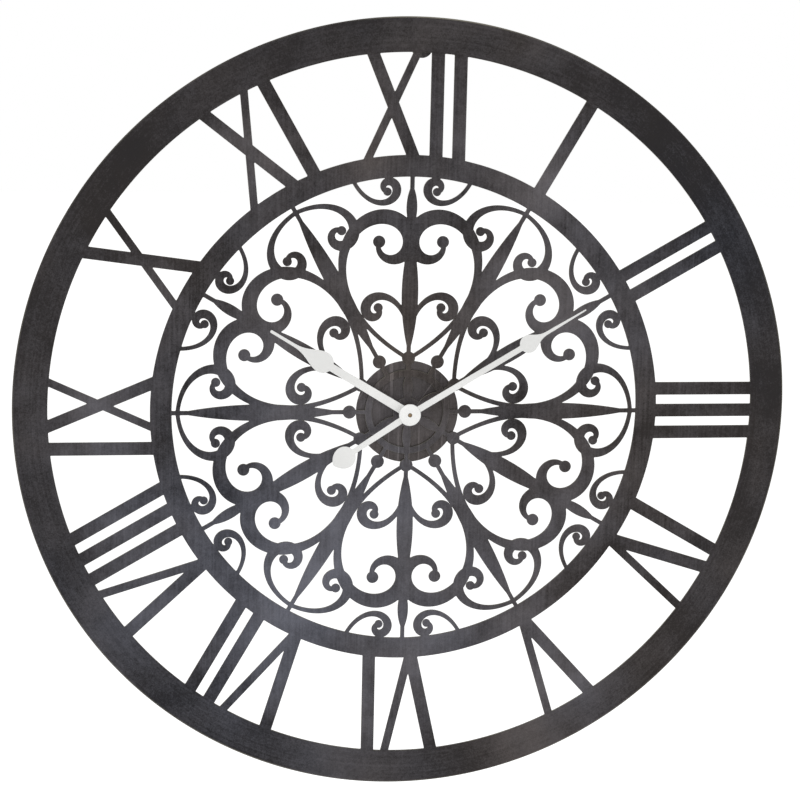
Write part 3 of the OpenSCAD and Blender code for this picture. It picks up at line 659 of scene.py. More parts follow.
def united(shapes, keep, lines=()):
    """Outline of the flat area whose triangles pass keep(names, x, y).

    shapes is a list of (name, points). The result is a list of closed loops with the
    area on their left."""
    spots, triangles, inside = overlaid([points for _, points in shapes], lines)
    names = [name for name, _ in shapes]
    follow, sides = {}, set()
    for triangle, owners in zip(triangles, inside):
        x = sum(spots[i][0] for i in triangle) / 3
        y = sum(spots[i][1] for i in triangle) / 3
        if owners and keep({names[i] for i in owners}, x, y):
            for a, b in zip(triangle, triangle[1:] + triangle[:1]):
                sides.add((a, b))
    for a, b in sides:
        if (b, a) not in sides:
            follow.setdefault(a, []).append(b)
    loops = []
    while follow:
        start = next(iter(follow))
        loop, here = [], start
        while True:
            loop.append(here)
            there = follow[here].pop()
            if not follow[here]:
                del follow[here]
            here = there
            if here == start:
                break
        loops.append([spots[i] for i in loop])
    return loops


def cleaned(loop, closest=0.03):
    """Drops points that lie almost on each other."""
    kept = []
    for p in loop:
        if not kept or math.dist(p, kept[-1]) > closest:
            kept.append(p)
    while len(kept) > 3 and math.dist(kept[0], kept[-1]) < closest:
        kept.pop()
    return kept


def rounded(loop, concave, convex, least=22, most=150, furthest=4.5, share=0.46):
    """Rounds the corners of a loop, with the area on its left, to two radii.

    A corner bends by more than least degrees, and counts as no sharper than most. Its
    rounding starts no further than furthest from it, and within that share of the way to
    the next corner."""
    loop = cleaned(loop)
    n = len(loop)
    steps = [math.dist(loop[i], loop[(i + 1) % n]) for i in range(n)]
    along = np.concatenate([[0], np.cumsum(steps)])
    total = along[-1]
    bends = {}
    for i, (b, c) in enumerate(zip(loop, loop[1:] + loop[:1])):
        a = loop[i - 1]
        bend = math.degrees(math.remainder(
            math.atan2(c[1] - b[1], c[0] - b[0]) - math.atan2(b[1] - a[1], b[0] - a[0]), TAU))
        if abs(bend) > least:
            bends[i] = bend
    if not bends:
        return loop
    corners = list(bends)
    reaches = {}
    for before, i, after in zip(corners[-1:] + corners, corners, corners[1:] + corners[:1]):
        radius = convex if bends[i] > 0 else concave
        reach = radius * math.tan(math.radians(min(abs(bends[i]), most)) / 2)
        ahead = (along[after] - along[i]) % total or total
        back = (along[i] - along[before]) % total or total
        reaches[i] = min(reach, furthest, share * min(ahead, back))

    def point_at(s):
        s %= total
        i = min(int(np.searchsorted(along, s, "right")) - 1, n - 1)
        f = (s - along[i]) / steps[i]
        a, b = loop[i], loop[(i + 1) % n]
        return (a[0] + (b[0] - a[0]) * f, a[1] + (b[1] - a[1]) * f)

    order = []
    for i, corner in enumerate(loop):
        if i in bends:
            a, b = point_at(along[i] - reaches[i]), point_at(along[i] + reaches[i])
            count = max(3, round(abs(bends[i]) / 18)) if bends[i] < 0 else 4
            for k in range(count + 1):
                t = k / count
                order.append(tuple((1 - t) ** 2 * a[m] + 2 * t * (1 - t) * corner[m]
                                   + t * t * b[m] for m in (0, 1)))
        elif all(abs(math.remainder(along[i] - along[j], total)) >= reach
                 for j, reach in reaches.items()):
            order.append(corner)
    return cleaned(order)


def thinned(loop, error=0.006, longest=24):
    """Drops points that lie on a straight run between their neighbours."""
    kept = [loop[0]]
    for i in range(1, len(loop)):
        a, b, c = kept[-1], loop[i], loop[(i + 1) % len(loop)]
        reach = math.dist(a, c)
        off = abs((c[0] - a[0]) * (b[1] - a[1]) - (c[1] - a[1]) * (b[0] - a[0]))
        if reach < 1e-9 or off / reach > error or reach > longest:
            kept.append(b)
    return kept


def inset(loop, distance, sharpest=1.6):
    """The loop moved into the area on its left, at a corner at most sharpest times as far."""
    points = np.array(loop)
    ahead = np.roll(points, -1, axis=0) - points
    ahead /= np.linalg.norm(ahead, axis=1)[:, None]
    left = np.stack([-ahead[:, 1], ahead[:, 0]], axis=1)
    mean = left + np.roll(left, 1, axis=0)
    size = np.linalg.norm(mean, axis=1)
    mean /= size[:, None]
    stretch = np.minimum(2 / np.maximum(size, 1e-6), sharpest)
    return points + mean * (stretch * distance)[:, None]


def filled(loops):
    """Triangles inside a set of loops, as indices of their points in order."""
    points, edges = [], []
    for loop in loops:
        start, n = len(points), len(loop)
        edges += [(start + i, start + (i + 1) % n) for i in range(n)]
        points += [Vector(p) for p in loop]
    spots, out_edges, triangles, old, old_edges, _ = delaunay_2d_cdt(
        points, edges, [], 0, FILLED, True)
    if len(spots) != len(points):
        raise RuntimeError("an outline touches itself")
    back = [o[0] for o in old]
    walls = {frozenset(e) for e, source in zip(out_edges, old_edges) if source}

    def sides(triangle):
        return [frozenset(e) for e in zip(triangle, triangle[1:] + triangle[:1])]

    beside = {}
    for t, triangle in enumerate(triangles):
        for edge in sides(triangle):
            beside.setdefault(edge, []).append(t)
    # From the outside inwards, each wall that is crossed leads in or out
    inside, queue = {}, []
    for edge, near in beside.items():
        if len(near) == 1 and near[0] not in inside:
            inside[near[0]] = edge in walls
            queue.append(near[0])
    while queue:
        t = queue.pop()
        for edge in sides(triangles[t]):
            for other in beside[edge]:
                if other not in inside:
                    inside[other] = inside[t] != (edge in walls)
                    queue.append(other)
    return [tuple(back[i] for i in triangle)
            for t, triangle in enumerate(triangles) if inside[t]]


# Solid pieces

# A CAD node's edges that bend by more than this, in degrees, can be rounded
SHARP = 50


class Shell:
    """Collects the faces of one piece, in millimetres of the flat dial."""

    def __init__(self):
        self.points, self.faces, self.smooth, self.cut, self.slot = [], [], [], [], []

    def add(self, points, faces, smooth=SMOOTH, cut=0.0, slot=0):
        """Adds faces. cut is how worn each point is, which the steel also shows as a painted
        glint, and slot the faces' material.
        """
        start = len(self.points)
        self.points += [tuple(p) for p in points]
        self.cut += cut if isinstance(cut, list) else [cut] * len(points)
        for number, face in enumerate(faces):
            self.faces.append([start + i for i in face])
            self.smooth.append(smooth)
            self.slot.append(slot if isinstance(slot, int) else slot[number % len(slot)])

    def take(self, mesh, smooth=SMOOTH, along=as_drawn):
        """Adds a mesh that is in millimetres, and removes it."""
        self.add([along(*v.co) for v in mesh.vertices],
                 [tuple(p.vertices) for p in mesh.polygons], smooth)
        bpy.data.meshes.remove(mesh)

    def mesh(self, name, crease=None, place=to_row):
        """Makes the mesh. Edges that bend by more than crease, in degrees, are sharp."""
        mesh = bpy.data.meshes.new(name)
        mesh.from_pydata([place(*p) for p in self.points], [], self.faces)
        mesh.polygons.foreach_set("use_smooth", self.smooth)
        mesh.polygons.foreach_set("material_index", self.slot)
        layer = mesh.attributes.new("cut", "FLOAT", "POINT")
        layer.data.foreach_set("value", self.cut)
        mesh.update()
        if crease:
            mesh.set_sharp_from_angle(angle=math.radians(crease))
        return mesh


def plate(shell, loops, back, front, edge):
    """A flat plate with worn edges: front, rolled edge, side, rolled edge, back."""
    soft = 0.29 * edge
    # Each ring of points: how far in, its height, and how worn it is, which the steel's
    # finish also shows as a painted glint
    profile = [(edge, front, 0), (soft, front - soft, 1), (0, front - edge, 0.75),
               (0, back + edge, 0.75), (edge, back, 0)]
    sizes = [len(loop) for loop in loops]
    starts = np.concatenate([[0], np.cumsum(sizes)])
    total = int(starts[-1])
    points, cut, faces = [], [], []
    for inward, z, wear in profile:
        for loop in loops:
            moved = inset(loop, inward) if inward else np.array(loop)
            points += [(x, y, z) for x, y in moved]
            cut += [wear] * len(loop)
    for ring in range(len(profile) - 1):
        for start, n in zip(starts, sizes):
            for i in range(n):
                a, b = ring * total + start + i, ring * total + start + (i + 1) % n
                faces.append((a, a + total, b + total, b))
    base = len(shell.points)
    shell.add(points, faces, SMOOTH, cut)
    last = base + (len(profile) - 1) * total
    for a, b, c in filled([inset(loop, edge) for loop in loops]):
        for face in ((base + a, base + b, base + c), (last + c, last + b, last + a)):
            shell.faces.append(list(face))
            shell.smooth.append(FLAT)
            shell.slot.append(0)


def lathe(shell, profile, at=(0, 0), count=64, slot=0, along=as_drawn):
    """A body of revolution. profile lists (radius, height) with the outside on its right
    when it runs up, and ends on the axis or where it starts. slot may list a slot for each
    step of the profile, and along puts the body on another axis."""
    closed = profile[0] == profile[-1]
    ring = profile[:-1] if closed else profile
    steps = len(ring) if closed else len(ring) - 1
    points, spots = [], {}
    for i in range(count):
        c, s = math.cos(TAU * i / count), math.sin(TAU * i / count)
        for k, (r, z) in enumerate(ring):
            if r == 0 and i:
                spots[i, k] = spots[0, k]
                continue
            spots[i, k] = len(points)
            points.append(along(at[0] + r * c, at[1] + r * s, z))
    faces = []
    for i in range(count):
        j = (i + 1) % count
        for k in range(steps):
            m = (k + 1) % len(ring)
            corners = (spots[i, k], spots[j, k], spots[j, m], spots[i, m])
            faces.append(list(dict.fromkeys(corners)))
    shell.add(points, faces, SMOOTH, 0.0, slot)


def nut(shell, flats, low, high, bore, count=72, chamfer=0.4, corner_cut=0.5, least=0.05):
    """A hexagon nut with its corners turned off at both ends and a chamfered bore."""
    def ring(limit, z):
        points = []
        for i in range(count):
            a = TAU * i / count
            r = min(flats / 2 / math.cos(math.remainder(a + TAU / 12, TAU / 6)), limit)
            points.append((r * math.cos(a), r * math.sin(a), z))
        return points

    corner = flats / 2 / math.cos(math.pi / 6) - least
    face = flats / 2 - least
    loops = [ring(bore, low + chamfer), ring(bore + chamfer, low), ring(face, low),
             ring(corner, low + corner_cut), ring(corner, high - corner_cut),
             ring(face, high), ring(bore + chamfer, high), ring(bore, high - chamfer)]
    faces = []
    for k in range(len(loops)):
        a, b = k * count, (k + 1) % len(loops) * count
        faces += [(a + i, a + (i + 1) % count, b + (i + 1) % count, b + i)
                  for i in range(count)]
    shell.add([p for loop in loops for p in loop], faces, FLAT)


def prism(shell, outline, low, high, along=as_drawn):
    """A bar with a flat outline, between two heights over it."""
    n = len(outline)
    points = [along(x, y, z) for z in (low, high) for x, y in outline]
    faces = [tuple(range(n - 1, -1, -1)), tuple(range(n, 2 * n))]
    faces += [(i, (i + 1) % n, n + (i + 1) % n, n + i) for i in range(n)]
    shell.add(points, faces, FLAT)


def softened(name, *passes):
    """A copy of a CAD node as one clean mesh with rounded edges, in millimetres.

    Each pass is (radius, segments, chosen), and chosen(x, y, z) picks sharp edges by the
    place of their middle."""
    work = bmesh.new()
    work.from_mesh(frame["nodes"][name].data)
    for vertex in work.verts:
        x, y, z = vertex.co * 1000
        vertex.co = (x, z + EYE_HEIGHT, -y - WALL_GAP)
    bmesh.ops.remove_doubles(work, verts=work.verts, dist=0.002)
    bmesh.ops.dissolve_limit(work, angle_limit=math.radians(1), verts=work.verts,
                             edges=work.edges)
    for radius, segments, chosen in passes:
        sharp = [e for e in work.edges if len(e.link_faces) == 2
                 and e.calc_face_angle() > math.radians(SHARP)
                 and chosen(*((e.verts[0].co + e.verts[1].co) / 2))]
        bmesh.ops.bevel(work, geom=sharp, offset=radius, segments=segments, profile=0.5,
                        affect="EDGES", clamp_overlap=segments < 3)
    bmesh.ops.triangulate(work, faces=[f for f in work.faces if len(f.verts) > 4])
    mesh = bpy.data.meshes.new(name + "_soft")
    work.to_mesh(mesh)
    work.free()
    return mesh


def piece(shell, name, body, slot, *nodes, crease=None, materials=None):
    """Puts a finished piece in the scene on its body and hides the CAD nodes it stands for.
    Its materials are the slot's own unless others are given."""
    mesh = shell.mesh(name, crease)
    made = bpy.data.objects.new(name, mesh)
    bpy.context.scene.collection.objects.link(made)
    for material in materials or [slot]:
        mesh.materials.append(MADE[material])
    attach(made, body)
    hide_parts(*nodes)


# Geometry Nodes trees

def new_tree(name, **inputs):
    """A tree with a geometry input and output, and a named input for each size."""
    tree = bpy.data.node_groups.new(name, "GeometryNodeTree")
    tree.is_modifier = True
    tree.interface.new_socket("Geometry", in_out="OUTPUT", socket_type="NodeSocketGeometry")
    for label, kind in {"Geometry": "Geometry", **inputs}.items():
        tree.interface.new_socket(label, in_out="INPUT", socket_type="NodeSocket" + kind)
    graph = Graph(tree)
    return graph, graph.node("NodeGroupInput")


def end_tree(graph, geometry, material):
    """Realizes the instances and gives the result its material."""
    real = graph.node("GeometryNodeRealizeInstances", None, {"Geometry": geometry})
    done = graph.node("GeometryNodeSetMaterial", None,
                      {"Geometry": real, "Material": MADE[material]})
    graph.node("NodeGroupOutput", None, {"Geometry": done})
    return graph.tree


def grown(tree, values, base=None):
    """Runs a tree on a mesh and returns the plain result."""
    mesh = base or bpy.data.meshes.new(tree.name)
    holder = bpy.data.objects.new(tree.name, mesh)
    bpy.context.scene.collection.objects.link(holder)
    modifier = holder.modifiers.new(tree.name, "NODES")
    modifier.node_group = tree
    for item in tree.interface.items_tree:
        if item.in_out == "INPUT" and item.name in values:
            modifier[item.identifier] = values[item.name]
    graph = bpy.context.evaluated_depsgraph_get()
    result = bpy.data.meshes.new_from_object(holder.evaluated_get(graph), depsgraph=graph)
    holder.modifiers.clear()
    bpy.data.objects.remove(holder)
    bpy.data.meshes.remove(mesh)
    return result


# What a scroll's tree asks for, besides its start and its number of steps
SCROLL_INPUTS = ("Heading", "Bend", "Growth", "Turn", "Side", "Thin", "Wide", "Peak", "Ball")


def scroll_tree():
    """A ribbon that bends more and more along its length and ends in a ball."""
    graph, given = new_tree("Scroll", Start="Vector", **dict.fromkeys(SCROLL_INPUTS, "Float"),
                            Steps="Int")
    heading, bend, grow, total, side, thin, wide, peak, ball, steps, start = (
        given.out(name) for name in (*SCROLL_INPUTS, "Steps", "Start"))
    # The grid's points run up both sides of the ribbon by turns: i counts along it
    index = graph.node("GeometryNodeInputIndex")
    i = graph.math("FLOOR", index / 2)
    is_left = index - i * 2
    spread = graph.math("EXPONENT", graph.math("LOGARITHM", 1 + total / (bend * grow), math.e)
                        * 0.5) - 1

    def length_at(step):
        return grow * 2 * graph.math("LOGARITHM", 1 + step / steps * spread, math.e)

    def turned_at(distance):
        return bend * grow * (graph.math("EXPONENT", distance / grow) - 1)

    here = length_at(i)
    before = length_at(graph.math("MAXIMUM", i - 1, 0.0))
    middle = graph.math("RADIANS", heading + side * turned_at((here + before) * 0.5))
    step = here - before
    centre = [graph.node("GeometryNodeAccumulateField",
                         {"data_type": "FLOAT", "domain": "POINT"},
                         {"Value": step * graph.math(function, middle), "Group ID": is_left},
                         "Leading") for function in ("COSINE", "SINE")]
    turned = turned_at(here)
    share = turned / total
    rising = share < peak
    u = rising * share / peak + (1 - rising) * (1 - share) / (1 - peak)
    swell = graph.math("MAXIMUM", graph.math("SINE", u * (math.pi / 2)), 0.0) ** 1.5
    half = thin * 0.5 + (wide - thin) * 0.5 * swell
    half = half * (is_left * 2 - 1)
    facing = graph.math("RADIANS", heading + side * turned)
    spot = graph.join(centre[0] - half * graph.math("SINE", facing),
                      centre[1] + half * graph.math("COSINE", facing), 0.0)
    grid = graph.node("GeometryNodeMeshGrid", None,
                      {"Vertices X": steps + 1, "Vertices Y": 2}, "Mesh")
    ribbon = graph.node("GeometryNodeSetPosition", None,
                        {"Geometry": grid, "Position": graph.vector("ADD", spot, start)})
    disc = graph.node("GeometryNodeMeshCircle", {"fill_type": "NGON"},
                      {"Vertices": 64, "Radius": ball}, "Mesh")
    last = [graph.node("GeometryNodeSampleIndex", {"data_type": "FLOAT", "domain": "POINT"},
                       {"Geometry": grid, "Value": axis, "Index": steps * 2})
            for axis in centre]
    end = graph.vector("ADD", graph.join(*last, 0.0), start)
    ball_at_end = graph.node("GeometryNodeSetPosition", None,
                             {"Geometry": disc, "Offset": end})
    both = graph.node("GeometryNodeJoinGeometry", None, {"Geometry": [ribbon, ball_at_end]})
    return end_tree(graph, both, "dial_paint")


def panels_tree():
    """Mirrors half a panel and repeats the panel round the centre."""
    graph, given = new_tree("Panels round the centre", Panels="Int")
    half, count = given.out("Geometry"), given.out("Panels")
    other = graph.node("GeometryNodeTransform", None, {"Geometry": half, "Scale": (-1, 1, 1)})
    panel = graph.node("GeometryNodeJoinGeometry", None, {"Geometry": [half, other]})
    centres = graph.node("GeometryNodeMeshLine", None, {"Count": count, "Offset": (0, 0, 0)})
    each = graph.node("GeometryNodeInputIndex")
    around = graph.join(0.0, 0.0, each * (-TAU / count))
    spin = graph.node("FunctionNodeEulerToRotation", None, {"Euler": around})
    placed = graph.node("GeometryNodeInstanceOnPoints", None,
                        {"Points": centres, "Instance": panel, "Rotation": spin})
    return end_tree(graph, placed, "dial_paint")


def coil_tree(material):
    """A wire or a thread wound round the z axis."""
    graph, given = new_tree("Coil", Turns="Float", Radius="Float", Foot="Float",
                            Height="Float", Wire="Float", Steps="Int")
    turns, radius, foot, height, wire, steps = (
        given.out(name) for name in ("Turns", "Radius", "Foot", "Height", "Wire", "Steps"))
    path = graph.node("GeometryNodeCurveSpiral", None,
                      {"Resolution": steps, "Rotations": turns, "Start Radius": radius,
                       "End Radius": radius, "Height": height})
    upright = graph.node("GeometryNodeSetCurveNormal", {"mode": "Z_UP"}, {"Curve": path})
    raised = graph.node("GeometryNodeTransform", None,
                        {"Geometry": upright, "Translation": graph.join(0.0, 0.0, foot)})
    round_wire = graph.node("GeometryNodeCurvePrimitiveCircle", None,
                            {"Resolution": 6, "Radius": wire})
    wound = graph.node("GeometryNodeCurveToMesh", None,
                       {"Curve": raised, "Profile Curve": round_wire, "Fill Caps": True})
    return end_tree(graph, wound, material)


def flutes_tree():
    """Presses flutes into the rim of a round knob."""
    graph, given = new_tree("Flutes", Flutes="Int", Radius="Float", Depth="Float")
    flutes, rim, depth = (given.out(name) for name in ("Flutes", "Radius", "Depth"))
    x, y, z = graph.split(graph.node("GeometryNodeInputPosition"))
    radius = graph.math("SQRT", x * x + y * y)
    wave = graph.math("COSINE", graph.math("ARCTAN2", y, x) * flutes)
    pressed = graph.smooth(wave, 0.1, 0.95) * (radius > rim * 0.9)
    share = 1 - pressed * depth / rim
    done = graph.node("GeometryNodeSetPosition", None,
                      {"Geometry": given.out("Geometry"),
                       "Position": graph.join(x * share, y * share, z)})
    return end_tree(graph, done, "bright_steel")


def row_tree(material):
    """Repeats a shape along a straight row, each one a little different in size."""
    graph, given = new_tree("Row", Count="Int", Step="Vector", Uneven="Float", Seed="Int")
    line = graph.node("GeometryNodeMeshLine", None,
                      {"Count": given.out("Count"), "Offset": given.out("Step")})
    uneven = given.out("Uneven")
    size = graph.node("FunctionNodeRandomValue", {"data_type": "FLOAT"},
                      {"Min": 1 - uneven, "Max": 1 + uneven, "Seed": given.out("Seed")},
                      "Value")
    placed = graph.node("GeometryNodeInstanceOnPoints", None,
                        {"Points": line, "Instance": given.out("Geometry"), "Scale": size})
    return end_tree(graph, placed, material)


# The dial sheet

# Places of the strokes in each numeral, seen with its foot towards the centre: the I bars,
# the V (where its strokes meet) and the X (where its strokes cross)
NUMERALS = [
    ([0], [], []), ([-11.6, 11.6], [], []), ([-23.2, 0, 23.2], [], []),
    ([-35.1], [10.6], []), ([], [1.2], []), ([34.9], [-8.2], []),
    ([23.2, 46.4], [-19.9], []), ([11.7, 34.9, 58.1], [-31.5], []),
    ([-36.2], [], [8.9]), ([], [], [-0.6]), ([35.0], [], [-10.1]),
    ([23.3, 46.5], [], [-21.1])]
# The height where a V meets or an X crosses, and how far its strokes lean for each step up
V_APEX, V_LEAN = 255.7, 0.2275
X_CROSS, X_LEAN, X_THIN_LEAN = 312.5, 0.418, 0.453
# Heights of the leaves and the knots on the rods at a panel's side and on its axis
SIDE_LEAF, SIDE_KNOT = (66, 236), 60
AXIS_LEAF, TIP_LEAF, AXIS_KNOT = (60, 184), (186, 234), 56
AXIS_BORE = 4
# How far a ribbon's straight steps may leave its curve
CHORD_ERROR = 0.02


def numeral_strokes(dial, overlap=20):
    """Every stroke of the twelve numerals, long enough to run into both rings."""
    low = dial.inner_radius - overlap
    high = dial.radius - dial.rim + overlap

    def stroke(x, foot, lean, width):
        a, b = x + lean * (low - foot), x + lean * (high - foot)
        return [(a - width / 2, low), (a + width / 2, low), (b + width / 2, high),
                (b - width / 2, high)]

    thick, thin = dial.thick_stroke, dial.thin_stroke
    for k, (bars, vees, crosses) in enumerate(NUMERALS, 1):
        strokes = [stroke(x, V_APEX, 0, thick) for x in bars]
        for x in vees:
            strokes += [stroke(x, V_APEX, -V_LEAN, thick), stroke(x, V_APEX, V_LEAN, thin)]
        for x in crosses:
            strokes += [stroke(x, X_CROSS, -X_LEAN, thick),
                        stroke(x, X_CROSS, X_THIN_LEAN, thin)]
        for points in strokes:
            yield turn(points, -360 / len(NUMERALS) * k)


def half_panel(scrolls, open_radius, collar_radius):
    """The flat shapes in half a panel, from the scroll tree and from plain outlines."""
    thin, small_thin = scrolls.thin, scrolls.small_thin
    ball, small_ball = scrolls.ball, scrolls.small_ball
    tree = scroll_tree()
    # Where each scroll starts, then SCROLL_INPUTS
    for start, *rest in (
            ((3, 57, 0), 31, 0.25, 98, 440, 1, thin, scrolls.heart, 0.4, ball),
            ((1, 84, 0), 82, 0.75, 36, 400, -1, small_thin, scrolls.leaf, 0.4, small_ball),
            ((119, 203, 0), 154, 0.62, 46, 420, 1, thin, scrolls.corner, 0.32, small_ball),
            ((59.3, 234.6, 0), 240, 0.9, 32, 420, -1, small_thin, scrolls.by_ring, 0.4,
             small_ball - 0.5)):
        values = dict(zip(SCROLL_INPUTS, map(float, rest)), Start=start)
        bend, growth, total = values["Bend"], values["Growth"], values["Turn"]
        spread = math.sqrt(1 + total / (bend * growth)) - 1
        values["Steps"] = math.ceil(2 * growth * spread
                                    * math.sqrt(bend * math.radians(1) / 8 / CHORD_ERROR))
        mesh = grown(tree, values)
        for polygon in mesh.polygons:
            yield [tuple(mesh.vertices[v].co.xy) for v in polygon.vertices]
        bpy.data.meshes.remove(mesh)
    rod = box_outline(-scrolls.rod / 2, scrolls.rod / 2, collar_radius - 2, open_radius + 2)
    side = (rod, leaf(*SIDE_LEAF, scrolls.spear), circle(scrolls.knot, (0, SIDE_KNOT), 48))
    yield from (turn(shape, -180 / scrolls.panels) for shape in side)
    yield from (rod, leaf(*AXIS_LEAF, scrolls.spear), leaf(*TIP_LEAF, scrolls.tip),
                circle(scrolls.knot, (0, AXIS_KNOT), 48))


def dial_loops():
    """The outlines of the whole sheet, with the steel on their left."""
    dial, scrolls = Sizes("clock_dial"), Sizes("clock_scrolls")
    open_radius = dial.inner_radius - dial.inner_width
    panels = scrolls.panels
    half = flat_mesh("half_panel", list(half_panel(scrolls, open_radius, dial.collar_radius)))
    grille = grown(panels_tree(), {"Panels": panels}, half)
    per_panel = len(grille.polygons) // panels
    shapes = [("panel_%d" % (i // per_panel),
               [tuple(grille.vertices[v].co.xy) for v in polygon.vertices])
              for i, polygon in enumerate(grille.polygons)]
    bpy.data.meshes.remove(grille)
    for name, radius, count in (
            ("dial", dial.radius, 720), ("rim_hole", dial.radius - dial.rim, 720),
            ("inner_ring", dial.inner_radius, 540), ("opening", open_radius, 540),
            ("collar", dial.collar_radius, 180),
            ("collar_hole", dial.collar_radius - dial.collar_width, 180),
            ("boss", dial.boss_radius, 96), ("bore", AXIS_BORE, 48)):
        shapes.append((name, circle(radius, (0, 0), count)))
    shapes += [("numeral", stroke) for stroke in numeral_strokes(dial)]
    width = 360 / panels
    petal = leaf(dial.boss_radius - 6, dial.collar_radius - 2, scrolls.petal)
    shapes += [("petal", turn(petal, width * k)) for k in range(panels)]
    cut = [(0, dial.collar_radius - 1), (0, open_radius + 1)]
    lines = [tuple(turn(cut, width * (k + 0.5))) for k in range(panels)]

    def keep(names, x, y):
        if "bore" in names:
            return False
        if "collar" in names:
            return "collar_hole" not in names or "boss" in names or "petal" in names
        if "opening" in names:
            k = round(-math.degrees(math.atan2(-x, y)) / width) % panels
            return "panel_%d" % k in names
        if "inner_ring" in names or "numeral" in names:
            return True
        return "dial" in names and "rim_hole" not in names

    loops = united(shapes, keep, lines)
    return [thinned(rounded(loop, dial.inner_corner, dial.outer_corner))
            for loop in loops if abs(area(loop)) > LOST_AREA]


# Sizes and outlines of the smaller pieces, in millimetres

# The hands' backs over the sheet's face, the boss and the bores under the cap, and the
# length of the collets behind
HOUR_BACK, MINUTE_BACK = 9.6, 15.4
HOUR_BOSS, HOUR_BORE, MINUTE_BORE = 9, 2.6, 1.6
COLLET = 1.6
CAP_FOOT, CAP_TOP, CAP_BORE = 16.3, 18.9, 1.62
# How far the counterweight reaches from its widest part, to the axis and away from it
TAIL_BACK, TAIL_FRONT = 11.6, 14
# How far the edges of the disc and the hands are worn round
DISC_EDGE, HAND_EDGE = 0.25, 0.22
# The weld beads along the bracket: x of each row and the seed of its sizes, then the number
# of beads, the height of the first and the step between them, and how much they differ
BEAD_ROWS = ((-4, 3), (17.6, 8))
BEADS, BEADS_FROM, BEAD_STEP, BEAD_UNEVEN = 13, 371, 1.35, 0.16
# The setting knob, and the studs on the cover
KNOB_AT, KNOB_RADIUS = (-13.291, 0.58), 5.2
STUDS = ((-24, 24), (24, 24), (24, -6), (0, 14))
# Where the cell and the coil's winding start, lying along x, and where the cell's band does
CELL_AT, WINDING_AT = (-25, -19, -13.1), (-23.6, 21.7, -12.5)
BAND_FROM = 33

# Profiles of turned pieces, as radius and height
BEAD = [(0, -1.1), (0.8, -0.8), (1.1, 0), (0.8, 0.8), (0, 1.1)]
POST = [(0, -22), (3.6, -22), (4, -21.6), (4, -4.4), (4.4, -3.6), (5.2, -3), (6.2, -2.5)]
PAD = [(0, -24), (5.2, -24), (5.8, -23.6), (6, -23), (6, -21.9), (5.75, -21.7),
       (5.75, -21.2), (6, -21), (6, -19.6), (5.6, -19.1), (5, -19), (4, -19), (4, -22),
       (0, -22)]
BUSHING = [(2.68, -6.9), (2.9, -7.2), (5, -7.2), (5.2, -7), (5.2, -6.5), (3.72, -6.5),
           (3.72, 5.7), (3.45, 6), (2.9, 6), (2.68, 5.8), (2.68, -6.9)]
WASHER = [(4, 0), (8.3, 0), (8.5, 0.2), (8.5, 0.6), (8.3, 0.8), (4.2, 0.8), (4, 0.6), (4, 0)]
GASKET = [(4, -4.5), (12.7, -4.5), (13, -4.2), (13, -3.8), (12.7, -3.5), (4, -3.5), (4, -4.5)]
KNOB_RING = [(6, -20.4), (7, -20.4), (7, -21), (6.8, -21.2), (6.2, -21.2), (6, -21),
             (6, -20.4)]
STUD = [(0, -20.7), (1.3, -20.7), (1.5, -20.6), (1.5, -20.4), (0, -20.4)]
KNOB = [(0, -22.3), (3.2, -22.3), (3.7, -22.8), (4.9, -22.8), (KNOB_RADIUS, -22.5),
        (KNOB_RADIUS, -21.1), (4.9, -20.8), (1, -20.8), (1, -22), (0, -22)]
CAN = [(0, 0.3), (4.4, 0.3), (4.8, 0.12), (6.1, 0.12), (6.7, 0.7), (6.8, 1.2), (6.8, 47.9),
       (6.5, 48.4), (6, 48.6), (3.1, 48.6), (2.6, 48.8), (2.6, 50.1), (2.3, 50.4), (0, 50.4)]
WRAP = [(6, 0), (6.6, 0), (7, 0.25), (7.1, 0.7), (7.1, BAND_FROM), (7.1, 48.2), (7, 48.75),
        (6.6, 49), (5.6, 49), (5.6, 48.85), (6.4, 48.7), (6.83, 47.8), (6.83, BAND_FROM),
        (6.83, 1.3), (6.4, 0.3), (6, 0.2), (6, 0)]
WINDING = [(1.9, 0), (3.6, 0), (3.86, 0.2), (3.86, 16), (3.6, 16.2), (1.9, 16.2), (1.9, 0)]
# Outlines of the case's ribs, and of the clips that hold its cover
RIB = [(0, -0.35), (0.35, -0.2), (0.35, 0.2), (0, 0.35), (-0.2, 0.35), (-0.2, -0.35)]
CLIP = [(27.6, -15), (27.6, -20.3), (26.4, -20.3), (26.4, -20.9), (26.7, -21.2),
        (28.5, -21.2), (28.8, -20.8), (28.8, -16.2), (28.4, -15.4)]


def mirrored(side):
    """A closed outline from its right half, which runs up from the y axis."""
    return side + [(-x, y) for x, y in reversed(side) if abs(x) > 1e-6]


def quarter(count):
    """Angles up to a right angle, in equal steps."""
    return [math.pi / 2 * i / count for i in range(count + 1)]


def bulb_back(place, half, height, rod, count=18):
    """The back of a bulb, from the place where its rod runs in to its widest part."""
    first = math.asin(rod / half)
    angles = [first + i / count * (math.pi / 2 - first) for i in range(count + 1)]
    return [(half * math.sin(a), place - height * math.cos(a)) for a in angles]


def hand_outline(long, bulb, radius, rod, hollow, power, point, tip):
    """A hand along y: rod, bulb, hollow taper, thin point with a round tip.

    hollow is the taper's length and power its depth, point the half width where it ends,
    and tip the radius at the hand's end."""
    side = [(rod[0], 0)] + bulb_back(bulb, radius, radius, rod[1])
    for i in range(1, 41):
        share = ((1 + math.cos(math.pi * i / 40)) / 2) ** power
        side.append((point + (radius - point) * share, bulb + hollow * i / 40))
    side += [(tip * math.cos(a), long - tip + tip * math.sin(a)) for a in quarter(6)]
    return mirrored(side)


